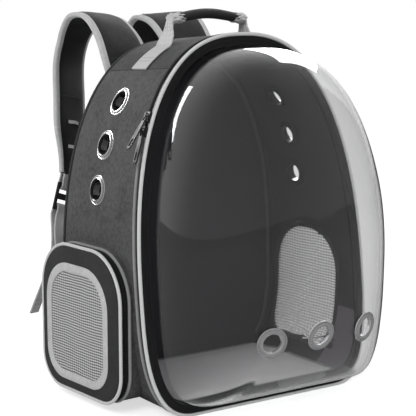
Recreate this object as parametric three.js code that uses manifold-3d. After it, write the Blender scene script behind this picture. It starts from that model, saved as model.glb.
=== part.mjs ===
import * as THREE from 'three';
import { mergeVertices } from 'three/addons/utils/BufferGeometryUtils.js';
import Module from 'manifold-3d';

const wasm = await Module();
wasm.setup();
const { degToRad, radToDeg, lerp } = THREE.MathUtils;

// Bubble pet carrier backpack. Millimetres, +Z up, the bubble faces -Y, the straps +Y,
// and z = 0 is the underside of the flat base.

// Arch of the bag: front frame, back edge and base
const FRONT_HALF_WIDTH = 160;
const BACK_HALF_WIDTH = 157;
const FRONT_HEIGHT = 420;
const BACK_HEIGHT = 410;
const WIDEST_HEIGHT = 124;
const BASE_FLAT_HALF = 95;
const ARCH_EXPONENT = 2.43;
const CORNER_EXPONENT = 2.8;
const DEPTH_AT_BASE = 200;
const FRONT_LEAN = 51;
const CORNER_STEPS = 6;
const SIDE_STEPS = 8;
const TOP_STEPS = 11;

// Cloth, clearances and the cross seams of the gusset
const GAP = 0.3;
const WALL = 3;
const SEAM_HALF_WIDTH = 94.5;
const SEAM_GAP_DEGREES = 0.08;

// Front frame, counted back from the front edge
const DOOR_PIPING_RADIUS = 2.2;
const PIPING_RADIUS = 2;
const PIPING_SINK = 0.8;
const PIPING_SIDES = 6;
const ZIPPER_WIDTH = 5.7;
const ZIPPER_TOP_SINK = 0.8;
const ZIPPER_THICKNESS = 2.2;
const BAND_WIDTH = 9.4;
const BAND_THICKNESS = 3;
const BINDING_WIDTH = 6.7;

// Clear bubble
const DOME_BULGE = 130;
const DOME_THICKNESS = 2;
const DOME_CENTRE_HEIGHT = 255;
const DOME_UPPER_EXPONENT = 2.9;
const DOME_LOWER_EXPONENT = 2.4;
const DOME_UPPER_ROUNDNESS = 2.6;
const DOME_LOWER_ROUNDNESS = 1.8;
const DOME_RINGS = 7;
const DOME_CURVE_CLEARANCE = 1.9;
const GROMMET_SEAT = 1.1;
const DOME_FLANGE = 8;

// Back panel and floor mat
const BACK_PANEL_THICKNESS = 10;
const BACK_PANEL_ROUND = 3;
const MAT_TOP = 11;
const MAT_CLEARANCE = 1;
const MAT_CORNER = 14;

// Round metal eyelets of the sides and of the bubble
const EYELET_HOLE_RADIUS = 10.8;
const EYELET_FLANGE_RADIUS = 17.5;
const EYELET_BARREL = 1.4;
const EYELET_CROWN = 2;
const EYELET_ROLL = 1.5;
const EYELET_SIDES = 14;
const WASHER_THICKNESS = 1.4;
const EYELET_Y = { left: 24, right: 36 };
const WASHER_CURVE_CLEARANCE = 1.1;
const EYELETS_FROM_SEAM = [44, 96, 147];
const GROMMET_SPACING = 64.5;
const GROMMET_HEIGHT = 97;

// Right side window
const WINDOW_LENGTH = 128;
const WINDOW_HEIGHT = 155;
const WINDOW_BOTTOM = 22;
const WINDOW_CENTRE_Y = 24;
const WINDOW_TOP_RADIUS = 58;
const WINDOW_LOW_RADIUS = 30;
const WINDOW_BINDING = 6;
const MESH_THICKNESS = 1.2;
const PANEL_CURVE_STEPS = 3;

// Left side pocket
const POCKET_LENGTH = 163;
const POCKET_HEIGHT = 172;
const POCKET_BOTTOM = 10;
const POCKET_CENTRE_Y = 13.5;
const POCKET_STAND_OFF = 23;
const POCKET_TURN = 3.5;
const POCKET_TOP_RADIUS = 56;
const POCKET_LOW_RADIUS = 38;
const POCKET_WALL = 2.2;
const POCKET_ZIPPER_WIDTH = 7.6;
const POCKET_WINDOW_LENGTH = 128;
const POCKET_WINDOW_HEIGHT = 138;
const POCKET_WINDOW_RISE = 12;
const POCKET_WINDOW_BACKWARD = 6;
const POCKET_WINDOW_TOP_RADIUS = 46;
const POCKET_WINDOW_LOW_RADIUS = 34;
const POCKET_BINDING = 10;
const POCKET_SLIDER_HEIGHT = 98;

// Zipper sliders and their pull tabs
const SLIDER_LENGTH = 10.5;
const SLIDER_WIDTH = 8;
const SLIDER_KEEL_WIDTH = 5;
const SLIDER_SEAT = 1.7;
const SLIDER_TOP = 4.2;
const CROWN_LENGTH = 7;
const CROWN_WIDTH = 2.5;
const CROWN_THICKNESS = 0.9;
const BAR_THICKNESS = 1.5;
const BAR_CLEARANCE = 0.45;
const SLIDER_SPACING = 17;
const UPPER_SLIDER_HEIGHT = 330;
const UPPER_PULL_LIFT = 14;
const UPPER_PULL_LENGTH = 44;
const LOWER_PULL_LENGTH = 38;
const POCKET_PULL_LENGTH = 34;
const PULL_WIDTH = 8;
const EYE_WIDTH = 6.6;
const EYE_LENGTH = 5;

// Top handle
const HANDLE_Y = 22;
const HANDLE_RISE = 27;
const GRIP_HALF_LENGTH = 49;
const GRIP_SAG = 6;
const GRIP_WIDTH = 20;
const GRIP_THICKNESS = 12;
const HANDLE_WEBBING_WIDTH = 32;
const WEBBING_THICKNESS = 2;
const HANDLE_LIFT_OFF = 61;
const HANDLE_WEBBING_LIFT = 0.7;

// Shoulder straps
const STRAP_WIDTH = 72;
const STRAP_THICKNESS = 10;
const STRAP_EDGE_THICKNESS = 5;
const STRAP_EDGE_WIDTH = 6;
const STRAP_SPACING = 48;
const STRAP_REACH = 140;
const STRAP_SPLAY = 30;
const STRAP_BANK = 0.07;
const STRAP_WEBBING_WIDTH = 25;
const ADJUSTER_WIDTH = 34;
const ADJUSTER_LENGTH = 36;
const ADJUSTER_THICKNESS = 4;
const ADJUSTER_BAR = 5;
const ADJUSTER_MIDDLE_BAR = 8;
const ADJUSTER_SIDE = 3.2;
const TAB_ROOT_HEIGHT = 46;
const TAB_BOTTOM = 36;
const TAB_THICKNESS = 2.4;

// Values that follow from the sizes above
const FRONT_Y = -DEPTH_AT_BASE / 2;
const BACK_Y = DEPTH_AT_BASE / 2;
const BASE_RIGHT = -90;
const BASE_LEFT = 270;
const SEAM_RIGHT = radToDeg(Math.acos((SEAM_HALF_WIDTH / FRONT_HALF_WIDTH) ** (ARCH_EXPONENT / 2)));
const SEAM_LEFT = 180 - SEAM_RIGHT;
const ZIPPER_START = DOOR_PIPING_RADIUS + GAP;
const ZIPPER_END = ZIPPER_START + ZIPPER_WIDTH;
const OUTER_PIPING_AT = ZIPPER_END + GAP + PIPING_RADIUS;
const GUSSET_START = OUTER_PIPING_AT + PIPING_RADIUS + GAP;
const BAND_OUTER = PIPING_SINK + DOOR_PIPING_RADIUS + 2 * GAP;
const BAND_INNER = BAND_OUTER + BAND_WIDTH;
const DOME_INSET = BAND_INNER + 2 * GAP;
const BAR_HEIGHT = SLIDER_TOP + BAR_CLEARANCE + BAR_THICKNESS / 2;
const CROWN_TOP = BAR_HEIGHT + BAR_THICKNESS / 2 + BAR_CLEARANCE + CROWN_THICKNESS;

// Plain helpers for closed bodies

function solve(low, high, valueAt, target) {
  const rising = valueAt(high) > valueAt(low);
  for (let round = 0; round < 50; round += 1) {
    const middle = (low + high) / 2;
    if (valueAt(middle) < target === rising) low = middle;
    else high = middle;
  }
  return (low + high) / 2;
}

function steps(from, to, count) {
  return Array.from({ length: count + 1 }, (_, step) => lerp(from, to, step / count));
}

function bare(geometry) {
  geometry.deleteAttribute('normal');
  geometry.deleteAttribute('uv');
  return mergeVertices(geometry);
}

function volumeOf(geometry) {
  const corners = geometry.getAttribute('position');
  const [a, b, c] = [new THREE.Vector3(), new THREE.Vector3(), new THREE.Vector3()];
  let volume = 0;
  for (let face = 0; face < geometry.index.count; face += 3) {
    a.fromBufferAttribute(corners, geometry.index.getX(face));
    b.fromBufferAttribute(corners, geometry.index.getX(face + 1));
    c.fromBufferAttribute(corners, geometry.index.getX(face + 2));
    volume += a.dot(b.cross(c)) / 6;
  }
  return volume;
}

function facingOut(geometry) {
  if (volumeOf(geometry) > 0) return geometry;
  const index = Array.from(geometry.index.array);
  geometry.setIndex(index.reverse());
  return geometry;
}

// Body through rings of equal length, closed on itself or capped at both ends by fans.
function loft(rings, closed = false) {
  const count = rings[0].length;
  const index = [];
  const spans = closed ? rings.length : rings.length - 1;
  for (let ring = 0; ring < spans; ring += 1) {
    const here = ring * count;
    const there = ((ring + 1) % rings.length) * count;
    for (let side = 0; side < count; side += 1) {
      const next = (side + 1) % count;
      index.push(here + side, here + next, there + next);
      index.push(here + side, there + next, there + side);
    }
  }
  if (!closed) {
    const last = (rings.length - 1) * count;
    for (let side = 1; side < count - 1; side += 1) {
      index.push(0, side + 1, side);
      index.push(last, last + side, last + side + 1);
    }
  }
  const geometry = new THREE.BufferGeometry().setFromPoints(rings.flat());
  geometry.setIndex(index);
  return facingOut(bare(geometry));
}

function solidOf(geometry) {
  const plain = facingOut(bare(geometry.clone()));
  const vertProperties = new Float32Array(plain.getAttribute('position').array);
  const triVerts = new Uint32Array(plain.index.array);
  return new wasm.Manifold(new wasm.Mesh({ numProp: 3, vertProperties, triVerts }));
}

function geometryOf(solid) {
  const { vertProperties, triVerts } = solid.getMesh();
  const geometry = new THREE.BufferGeometry();
  geometry.setAttribute('position', new THREE.BufferAttribute(vertProperties, 3));
  geometry.setIndex(new THREE.BufferAttribute(triVerts, 1));
  return geometry;
}

function cut(geometry, ...tools) {
  const solid = tools.reduce((rest, tool) => rest.subtract(solidOf(tool)), solidOf(geometry));
  return geometryOf(solid);
}

function common(geometry, tool) {
  return geometryOf(solidOf(geometry).intersect(solidOf(tool)));
}

function joined(first, ...others) {
  return geometryOf(others.reduce((whole, other) => whole.add(solidOf(other)), solidOf(first)));
}

function aimed(geometry, point, direction) {
  const turn = new THREE.Quaternion().setFromUnitVectors(new THREE.Vector3(0, 1, 0), direction);
  return geometry.applyQuaternion(turn).translate(point.x, point.y, point.z);
}

function framed(geometry, { origin, across, along, out }) {
  const matrix = new THREE.Matrix4().makeBasis(across, along, out).setPosition(origin);
  return geometry.applyMatrix4(matrix);
}

function inFrame({ origin, across, along, out }, a, b, c) {
  return origin.clone().addScaledVector(across, a).addScaledVector(along, b).addScaledVector(out, c);
}

function box(size, centre) {
  return new THREE.BoxGeometry(...size).translate(...centre);
}

function extruded(shape, depth, from = 0, curveSegments = PANEL_CURVE_STEPS) {
  const options = { depth, bevelEnabled: false, curveSegments };
  return new THREE.ExtrudeGeometry(shape, options).translate(0, 0, from);
}

// Arch of the bag

// -90 degrees is the right end of the flat base, 0 the widest place on the right,
// 90 the top, 180 the widest place on the left and 270 the left end of the base.
function archPoint(halfWidth, height, degrees) {
  const across = Math.cos(degToRad(degrees));
  const up = Math.sin(degToRad(degrees));
  const side = Math.sign(across);
  if (up < 0) {
    const reach = Math.abs(across) ** (2 / CORNER_EXPONENT);
    const rise = 1 - Math.abs(up) ** (2 / CORNER_EXPONENT);
    const x = side * (BASE_FLAT_HALF + (halfWidth - BASE_FLAT_HALF) * reach);
    return new THREE.Vector2(x, WIDEST_HEIGHT * rise);
  }
  const x = side * halfWidth * Math.abs(across) ** (2 / ARCH_EXPONENT);
  const z = lerp(WIDEST_HEIGHT, height, up ** (2 / ARCH_EXPONENT));
  return new THREE.Vector2(x, z);
}

function archNormal(degrees) {
  const nudge = 0.05;
  const before = Math.max(degrees - nudge, BASE_RIGHT);
  const after = Math.min(degrees + nudge, BASE_LEFT);
  const start = archPoint(FRONT_HALF_WIDTH, FRONT_HEIGHT, before);
  const along = archPoint(FRONT_HALF_WIDTH, FRONT_HEIGHT, after).sub(start).normalize();
  return new THREE.Vector2(along.y, -along.x);
}

function frontY(z) {
  return FRONT_Y + (FRONT_LEAN * z) / FRONT_HEIGHT;
}

function depthAt(degrees) {
  return BACK_Y - frontY(archPoint(FRONT_HALF_WIDTH, FRONT_HEIGHT, degrees).y);
}

// Point of the wall, some way behind the front edge and outside the cloth's outer face.
// What would hang below the base is pressed flat there.
function shellPoint(degrees, fromFront, out) {
  const front = archPoint(FRONT_HALF_WIDTH, FRONT_HEIGHT, degrees);
  const back = archPoint(BACK_HALF_WIDTH, BACK_HEIGHT, degrees);
  const y = frontY(front.y) + fromFront;
  const flat = front.lerp(back, fromFront / depthAt(degrees));
  flat.addScaledVector(archNormal(degrees), out);
  return new THREE.Vector3(flat.x, y, Math.max(flat.y, 0));
}

// Direction away from the wall, its slope towards the back included
function shellNormal(degrees, fromFront) {
  const nudge = 0.5;
  const here = shellPoint(degrees, fromFront, 0);
  const round = shellPoint(degrees + nudge, fromFront, 0).sub(here);
  const backward = shellPoint(degrees, fromFront + nudge, 0).sub(here);
  return backward.cross(round).normalize();
}

const nearFront = (distance, out) => (turn) => shellPoint(turn, distance, out);
const nearBack = (distance, out) => (turn) => shellPoint(turn, depthAt(turn) - distance, out);

const RIGHT_CORNER = steps(BASE_RIGHT, 0, CORNER_STEPS);
const RIGHT_SIDE = steps(0, SEAM_RIGHT, SIDE_STEPS);
const TOP = steps(SEAM_RIGHT, SEAM_LEFT, TOP_STEPS);
const LEFT_SIDE = steps(SEAM_LEFT, 180, SIDE_STEPS);
const LEFT_CORNER = steps(180, BASE_LEFT, CORNER_STEPS);
const ALL_ROUND = [
  ...RIGHT_CORNER,
  ...RIGHT_SIDE.slice(1),
  ...TOP.slice(1),
  ...LEFT_SIDE.slice(1),
  ...LEFT_CORNER.slice(1),
];

function archRing(section, turns = ALL_ROUND, closed = true) {
  return loft(turns.map((turn) => section.map((corner) => corner(turn))), closed);
}

function pipingSection(at, sink, radius) {
  return steps(0, 360, PIPING_SIDES).slice(1).map((degrees) => {
    const angle = degToRad(degrees);
    return nearFront(at + radius * Math.cos(angle), -sink + radius * Math.sin(angle));
  });
}

function wallSection(startOut, endOut) {
  return [
    nearFront(GUSSET_START, startOut),
    nearBack(BINDING_WIDTH + GAP, startOut),
    nearBack(BINDING_WIDTH + GAP, endOut),
    nearFront(GUSSET_START, endOut),
  ];
}

// Turn between two others where the wall's point at a given y has the value looked for
function turnAtY(y, low, high, valueAt, target) {
  return solve(low, high, (turn) => valueAt(shellPoint(turn, depthAt(turn) - (BACK_Y - y), 0)), target);
}

// Round eyelets

function closedLathe(profile, sides) {
  const points = [...profile, profile[0]].map(([radius, height]) => new THREE.Vector2(radius, height));
  return new THREE.LatheGeometry(points, sides);
}

function eyeletProfile(grip, seat) {
  const barrel = EYELET_HOLE_RADIUS + EYELET_BARREL;
  const middle = (EYELET_HOLE_RADIUS + EYELET_FLANGE_RADIUS) / 2;
  return [
    [EYELET_HOLE_RADIUS, -grip - EYELET_ROLL],
    [barrel + EYELET_ROLL, -grip - EYELET_ROLL],
    [barrel + EYELET_ROLL, -grip],
    [barrel, -grip],
    [barrel, seat],
    [EYELET_FLANGE_RADIUS, seat],
    [middle, seat + EYELET_CROWN],
    [EYELET_HOLE_RADIUS, seat + EYELET_CROWN / 2],
  ];
}

const EYELET_CUT_RADIUS = EYELET_HOLE_RADIUS + EYELET_BARREL + 1.5 * GAP;
const WASHER_TOP = WALL + WASHER_CURVE_CLEARANCE + GAP;
const WASHER_END = WASHER_TOP + WASHER_THICKNESS;
const CUT_LENGTH = 30;

function eyeletPlace(side, fromSeam) {
  const seam = side > 0 ? SEAM_RIGHT : SEAM_LEFT;
  const widest = side > 0 ? 0 : 180;
  const fromBack = BACK_Y - (side > 0 ? EYELET_Y.right : EYELET_Y.left);
  const turnY = (turn) => shellPoint(turn, depthAt(turn) - fromBack, 0);
  const start = turnY(seam);
  const turn = solve(seam, widest, (degrees) => turnY(degrees).distanceTo(start), fromSeam);
  return { point: turnY(turn), direction: shellNormal(turn, depthAt(turn) - fromBack) };
}

function eyeletCutter({ point, direction }) {
  const cylinder = new THREE.CylinderGeometry(EYELET_CUT_RADIUS, EYELET_CUT_RADIUS, CUT_LENGTH, EYELET_SIDES);
  return aimed(cylinder, point, direction);
}

function eyeletWasher() {
  const inner = EYELET_HOLE_RADIUS + EYELET_BARREL + GAP;
  return closedLathe([
    [inner, -WASHER_END],
    [EYELET_FLANGE_RADIUS, -WASHER_END],
    [EYELET_FLANGE_RADIUS, -WASHER_TOP],
    [inner, -WASHER_TOP],
  ], EYELET_SIDES);
}

// Panels with round corners, drawn round a centre line and standing on height 0

function panelShape(length, height, lowRadius, topRadius, inset) {
  const half = length / 2 - inset;
  const [bottom, top] = [inset, height - inset];
  const low = lowRadius - inset;
  const high = topRadius - inset;
  const shape = new THREE.Shape();
  shape.moveTo(-half + low, bottom);
  shape.lineTo(half - low, bottom);
  shape.absarc(half - low, bottom + low, low, -Math.PI / 2, 0);
  shape.absarc(half - high, top - high, high, 0, Math.PI / 2);
  shape.absarc(-half + high, top - high, high, Math.PI / 2, Math.PI);
  shape.absarc(-half + low, bottom + low, low, Math.PI, 1.5 * Math.PI);
  return shape;
}

function panelFrame(outer, inner, from, to) {
  const shape = new THREE.Shape(outer.getPoints(PANEL_CURVE_STEPS));
  shape.holes.push(new THREE.Path(inner.getPoints(PANEL_CURVE_STEPS)));
  return extruded(shape, to - from, from);
}

function moved(shape, x, y) {
  return new THREE.Shape(shape.getPoints(PANEL_CURVE_STEPS).map((point) => point.add(new THREE.Vector2(x, y))));
}

function panelPiping(panel, at, radius) {
  const points = panel(PIPING_SINK).getPoints(PANEL_CURVE_STEPS).slice(0, -1);
  const outward = panel(PIPING_SINK - 1).getPoints(PANEL_CURVE_STEPS).slice(0, -1);
  const rings = points.map((point, index) => {
    const away = outward[index].clone().sub(point).normalize();
    return steps(0, 360, PIPING_SIDES).slice(1).map((degrees) => {
      const [reach, lift] = [radius * Math.cos(degToRad(degrees)), radius * Math.sin(degToRad(degrees))];
      return new THREE.Vector3(point.x + away.x * reach, point.y + away.y * reach, at + lift);
    });
  });
  return loft(rings, true);
}

// Shell of the bag

const eyeletPlaces = [-1, 1].flatMap((side) => EYELETS_FROM_SEAM.map((from) => eyeletPlace(side, from)));

const WINDOW_FRAME = {
  origin: new THREE.Vector3(0, WINDOW_CENTRE_Y, WINDOW_BOTTOM),
  across: new THREE.Vector3(0, 1, 0),
  along: new THREE.Vector3(0, 0, 1),
  out: new THREE.Vector3(1, 0, 0),
};
const windowPanel = (inset) => {
  return panelShape(WINDOW_LENGTH, WINDOW_HEIGHT, WINDOW_LOW_RADIUS, WINDOW_TOP_RADIUS, inset);
};

function windowPrism(inset) {
  return framed(extruded(windowPanel(inset), FRONT_HALF_WIDTH, BASE_FLAT_HALF), WINDOW_FRAME);
}

function lowerGusset() {
  const turns = [
    SEAM_LEFT + SEAM_GAP_DEGREES,
    ...LEFT_SIDE.slice(1),
    ...LEFT_CORNER.slice(1),
    ...RIGHT_CORNER,
    ...RIGHT_SIDE.slice(1, -1),
    SEAM_RIGHT - SEAM_GAP_DEGREES,
  ];
  const wall = archRing(wallSection(-WALL, 0), turns, false);
  return cut(wall, windowPrism(-GAP), ...eyeletPlaces.map(eyeletCutter));
}

function topGusset() {
  const turns = [SEAM_RIGHT + SEAM_GAP_DEGREES, ...TOP.slice(1, -1), SEAM_LEFT - SEAM_GAP_DEGREES];
  return archRing(wallSection(-WALL, 0), turns, false);
}

function windowMesh() {
  const sheet = archRing(wallSection(-(WALL + MESH_THICKNESS) / 2, -(WALL - MESH_THICKNESS) / 2));
  return common(sheet, windowPrism(WINDOW_BINDING + GAP));
}

function windowBinding() {
  const slab = archRing(wallSection(-WALL - 2 * GAP, 2 * GAP));
  return cut(common(slab, windowPrism(0)), windowPrism(WINDOW_BINDING));
}

function backPanel() {
  const rows = [
    [BACK_PANEL_THICKNESS, BACK_PANEL_ROUND],
    [BACK_PANEL_THICKNESS - BACK_PANEL_ROUND, 0],
    [0, 0],
  ];
  const edge = WALL + 2 * GAP;
  return loft(rows.map(([depth, round]) => ALL_ROUND.map(nearBack(depth, -edge - round))));
}

function matHalfWidth(z) {
  const height = Math.max(z - WALL - MAT_CLEARANCE, 0);
  const share = 1 - ((WIDEST_HEIGHT - height) / WIDEST_HEIGHT) ** CORNER_EXPONENT;
  const reach = (BACK_HALF_WIDTH - BASE_FLAT_HALF) * share ** (1 / CORNER_EXPONENT);
  return BASE_FLAT_HALF + reach - WALL - MAT_CLEARANCE;
}

function floorMat() {
  const front = FRONT_Y + GUSSET_START + 2;
  const back = BACK_Y - BACK_PANEL_THICKNESS - MAT_CLEARANCE;
  const bottom = WALL + GAP;
  const rings = [bottom, (bottom + MAT_TOP) / 2, MAT_TOP].map((z) => {
    const shape = panelShape(2 * matHalfWidth(z), back - front, MAT_CORNER, MAT_CORNER, 0);
    return shape.getPoints(PANEL_CURVE_STEPS).slice(0, -1).map(({ x, y }) => new THREE.Vector3(x, front + y, z));
  });
  return loft(rings);
}

function doorBand() {
  const half = BAND_THICKNESS / 2;
  return archRing([
    nearFront(-half, -BAND_OUTER),
    nearFront(half, -BAND_OUTER),
    nearFront(half, -BAND_INNER),
    nearFront(-half, -BAND_INNER),
  ]);
}

function zipperTape() {
  const bottom = -ZIPPER_TOP_SINK - ZIPPER_THICKNESS;
  return archRing([
    nearFront(ZIPPER_START, bottom),
    nearFront(ZIPPER_END, bottom),
    nearFront(ZIPPER_END, -ZIPPER_TOP_SINK),
    nearFront(ZIPPER_START, -ZIPPER_TOP_SINK),
  ]);
}

function backBinding() {
  const inner = -WALL - GAP;
  return archRing([
    nearBack(BINDING_WIDTH, inner),
    nearBack(0, inner),
    nearBack(0, 0),
    nearBack(BINDING_WIDTH, 0),
  ]);
}

// Bubble: a superellipse of revolution round the front axis, rounder towards the floor

function domePoint(turn, rise, inset, start, bulge) {
  const rim = shellPoint(turn, start, -inset);
  const low = THREE.MathUtils.smoothstep(rim.z, 0, DOME_CENTRE_HEIGHT);
  const exponent = lerp(DOME_LOWER_EXPONENT, DOME_UPPER_EXPONENT, low);
  const forward = Math.sin(degToRad(rise)) ** (2 / exponent);
  const upright = Math.cos(degToRad(rise)) ** (2 / exponent);
  const sideways = lerp(DOME_LOWER_ROUNDNESS, DOME_UPPER_ROUNDNESS, low);
  const narrow = (1 - forward ** sideways) ** (1 / sideways);
  const z = lerp(DOME_CENTRE_HEIGHT, rim.z, upright);
  const y = frontY(z) + start - (bulge + start) * forward;
  return new THREE.Vector3(rim.x * narrow, y, z);
}

function domeShell() {
  const half = BAND_THICKNESS / 2;
  const outerStart = half + GAP;
  const innerStart = outerStart + DOME_THICKNESS;
  const innerInset = DOME_INSET + DOME_THICKNESS;
  const flangeInset = DOME_INSET - DOME_FLANGE;
  const rises = steps(0, 90, DOME_RINGS).slice(1, -1);
  const innerBulge = DOME_BULGE - DOME_THICKNESS;
  const rings = [
    ...rises.toReversed().map((rise) => ALL_ROUND.map((turn) => {
      return domePoint(turn, rise, DOME_INSET, outerStart, DOME_BULGE);
    })),
    ALL_ROUND.map(nearFront(outerStart, -DOME_INSET)),
    ALL_ROUND.map(nearFront(outerStart, -flangeInset)),
    ALL_ROUND.map(nearFront(innerStart, -flangeInset)),
    ALL_ROUND.map(nearFront(innerStart, -innerInset)),
    ...rises.map((rise) => ALL_ROUND.map((turn) => {
      return domePoint(turn, rise, innerInset, innerStart, innerBulge);
    })),
  ];
  const apexOf = (bulge) => new THREE.Vector3(0, frontY(DOME_CENTRE_HEIGHT) - bulge, DOME_CENTRE_HEIGHT);
  return loftToPoints(rings, apexOf(DOME_BULGE), apexOf(innerBulge));
}

function loftToPoints(rings, first, last) {
  const count = rings[0].length;
  const points = [...rings.flat(), first, last];
  const [firstAt, lastAt] = [points.length - 2, points.length - 1];
  const index = [];
  for (let side = 0; side < count; side += 1) {
    const next = (side + 1) % count;
    for (let ring = 0; ring < rings.length - 1; ring += 1) {
      const [here, there] = [ring * count, (ring + 1) * count];
      index.push(here + side, here + next, there + next);
      index.push(here + side, there + next, there + side);
    }
    const end = (rings.length - 1) * count;
    index.push(firstAt, next, side);
    index.push(lastAt, end + side, end + next);
  }
  const geometry = new THREE.BufferGeometry().setFromPoints(points);
  geometry.setIndex(index);
  return facingOut(bare(geometry));
}

function grommetPlace(shell, x) {
  const mesh = new THREE.Mesh(shell, new THREE.MeshBasicMaterial({ side: THREE.DoubleSide }));
  const toBack = new THREE.Vector3(0, 1, 0);
  const hit = (right, up) => {
    const from = new THREE.Vector3(x + right, FRONT_Y - 2 * DOME_BULGE, GROMMET_HEIGHT + up);
    return new THREE.Raycaster(from, toBack).intersectObject(mesh)[0].point;
  };
  const reach = EYELET_HOLE_RADIUS;
  const [left, right, low, high] = [hit(-reach, 0), hit(reach, 0), hit(0, -reach), hit(0, reach)];
  const direction = right.clone().sub(left).cross(high.clone().sub(low)).normalize();
  const point = left.add(right).add(low).add(high).divideScalar(4);
  return { point, direction };
}

const dome = domeShell();
const grommetPlaces = [-1, 0, 1].map((side) => grommetPlace(dome, side * GROMMET_SPACING));

// Left pocket: local x runs to the front, y up and z away from the wall

const POCKET_FRAME = {
  origin: new THREE.Vector3(-FRONT_HALF_WIDTH - POCKET_STAND_OFF, POCKET_CENTRE_Y, POCKET_BOTTOM),
  across: new THREE.Vector3(Math.sin(degToRad(POCKET_TURN)), -Math.cos(degToRad(POCKET_TURN)), 0),
  along: new THREE.Vector3(0, 0, 1),
  out: new THREE.Vector3(-Math.cos(degToRad(POCKET_TURN)), -Math.sin(degToRad(POCKET_TURN)), 0),
};
const pocketPanel = (inset) => {
  return panelShape(POCKET_LENGTH, POCKET_HEIGHT, POCKET_LOW_RADIUS, POCKET_TOP_RADIUS, inset);
};
const pocketWindow = (inset) => {
  const [low, top] = [POCKET_WINDOW_LOW_RADIUS, POCKET_WINDOW_TOP_RADIUS];
  const shape = panelShape(POCKET_WINDOW_LENGTH, POCKET_WINDOW_HEIGHT, low, top, inset);
  return moved(shape, -POCKET_WINDOW_BACKWARD, POCKET_WINDOW_RISE);
};
const POCKET_FACE_TOP = 0;
const POCKET_EDGE_AT = -PIPING_RADIUS;
const POCKET_ZIPPER_TOP = POCKET_EDGE_AT - PIPING_RADIUS - GAP;
const POCKET_ZIPPER_LOW = POCKET_ZIPPER_TOP - POCKET_ZIPPER_WIDTH;
const POCKET_STRIP_AT = POCKET_ZIPPER_LOW - GAP - PIPING_RADIUS;
const POCKET_GUSSET_TOP = POCKET_STRIP_AT - PIPING_RADIUS - GAP;

function archBlock(out) {
  return loft([ALL_ROUND.map(nearFront(0, out)), ALL_ROUND.map(nearBack(0, out))]);
}

function pocketGusset() {
  const reach = -FRONT_HALF_WIDTH / 2;
  const frame = panelFrame(pocketPanel(0), pocketPanel(POCKET_WALL), reach, POCKET_GUSSET_TOP);
  return cut(framed(frame, POCKET_FRAME), archBlock(GAP));
}

function pocketPiece(geometry) {
  return framed(geometry, POCKET_FRAME);
}

// Sliders and pulls: local x across the zipper, y down along it and z out of the cloth

function sliderBody() {
  const keelHeight = SLIDER_SEAT + ZIPPER_TOP_SINK - GAP;
  const keel = box(
    [SLIDER_KEEL_WIDTH, SLIDER_LENGTH, keelHeight],
    [0, 0, SLIDER_SEAT - keelHeight / 2 + GAP / 2],
  );
  const plate = box(
    [SLIDER_WIDTH, SLIDER_LENGTH, SLIDER_TOP - SLIDER_SEAT],
    [0, 0, (SLIDER_TOP + SLIDER_SEAT) / 2],
  );
  const crown = box([CROWN_WIDTH, CROWN_LENGTH, CROWN_TOP - SLIDER_SEAT], [0, 0, (CROWN_TOP + SLIDER_SEAT) / 2]);
  const under = box(
    [2 * CROWN_WIDTH, CROWN_LENGTH - 2 * CROWN_THICKNESS, CROWN_TOP - CROWN_THICKNESS - SLIDER_TOP],
    [0, 0, (CROWN_TOP - CROWN_THICKNESS + SLIDER_TOP) / 2],
  );
  return cut(joined(plate, keel, crown), under);
}

function pullShape(length) {
  const [eye, half] = [EYE_WIDTH / 2, PULL_WIDTH / 2];
  const top = -BAR_THICKNESS / 2;
  const tip = top + length;
  const neck = EYE_LENGTH + 2 * BAR_THICKNESS;
  const shape = new THREE.Shape();
  shape.moveTo(-eye, top);
  shape.lineTo(eye, top);
  shape.lineTo(eye, neck);
  shape.lineTo(half, neck + half);
  shape.lineTo(half, tip - half / 2);
  shape.lineTo(half / 2, tip);
  shape.lineTo(-half / 2, tip);
  shape.lineTo(-half, tip - half / 2);
  shape.lineTo(-half, neck + half);
  shape.lineTo(-eye, neck);
  const window = (halfWidth, from, to) => {
    const hole = new THREE.Path();
    hole.moveTo(-halfWidth, from);
    hole.lineTo(-halfWidth, to);
    hole.lineTo(halfWidth, to);
    hole.lineTo(halfWidth, from);
    shape.holes.push(hole);
  };
  window(CROWN_WIDTH / 2 + 2 * GAP, BAR_THICKNESS / 2, BAR_THICKNESS / 2 + EYE_LENGTH);
  window(PULL_WIDTH / 4, tip - 1.6 * PULL_WIDTH, tip - half);
  return shape;
}

function pullTab(length, lift) {
  const tab = extruded(pullShape(length), BAR_THICKNESS, -BAR_THICKNESS / 2);
  return tab.rotateX(degToRad(lift)).translate(0, 0, BAR_HEIGHT);
}

const ZIPPER_MIDDLE = (ZIPPER_START + ZIPPER_END) / 2;

function zipperFrame(fromTop) {
  const height = UPPER_SLIDER_HEIGHT;
  const start = solve(90, 180, (turn) => shellPoint(turn, ZIPPER_MIDDLE, 0).z, height);
  const first = shellPoint(start, ZIPPER_MIDDLE, 0);
  const turn = solve(start, 180, (degrees) => shellPoint(degrees, ZIPPER_MIDDLE, 0).distanceTo(first), fromTop);
  const origin = shellPoint(turn, ZIPPER_MIDDLE, 0);
  const along = shellPoint(turn + 1, ZIPPER_MIDDLE, 0).sub(origin).normalize();
  const across = along.clone().cross(shellNormal(turn, ZIPPER_MIDDLE)).normalize();
  return { origin, across, along, out: across.clone().cross(along) };
}

const upperSlider = zipperFrame(0);
const lowerSlider = zipperFrame(SLIDER_SPACING);
const pocketSlider = {
  origin: inFrame(
    POCKET_FRAME,
    -POCKET_LENGTH / 2,
    POCKET_SLIDER_HEIGHT - POCKET_BOTTOM,
    (POCKET_ZIPPER_TOP + POCKET_ZIPPER_LOW) / 2,
  ),
  across: POCKET_FRAME.out.clone().negate(),
  along: new THREE.Vector3(0, 0, -1),
  out: POCKET_FRAME.across.clone().negate(),
};

// Webbing and padded bands: a section carried along stations that name their width direction

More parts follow.
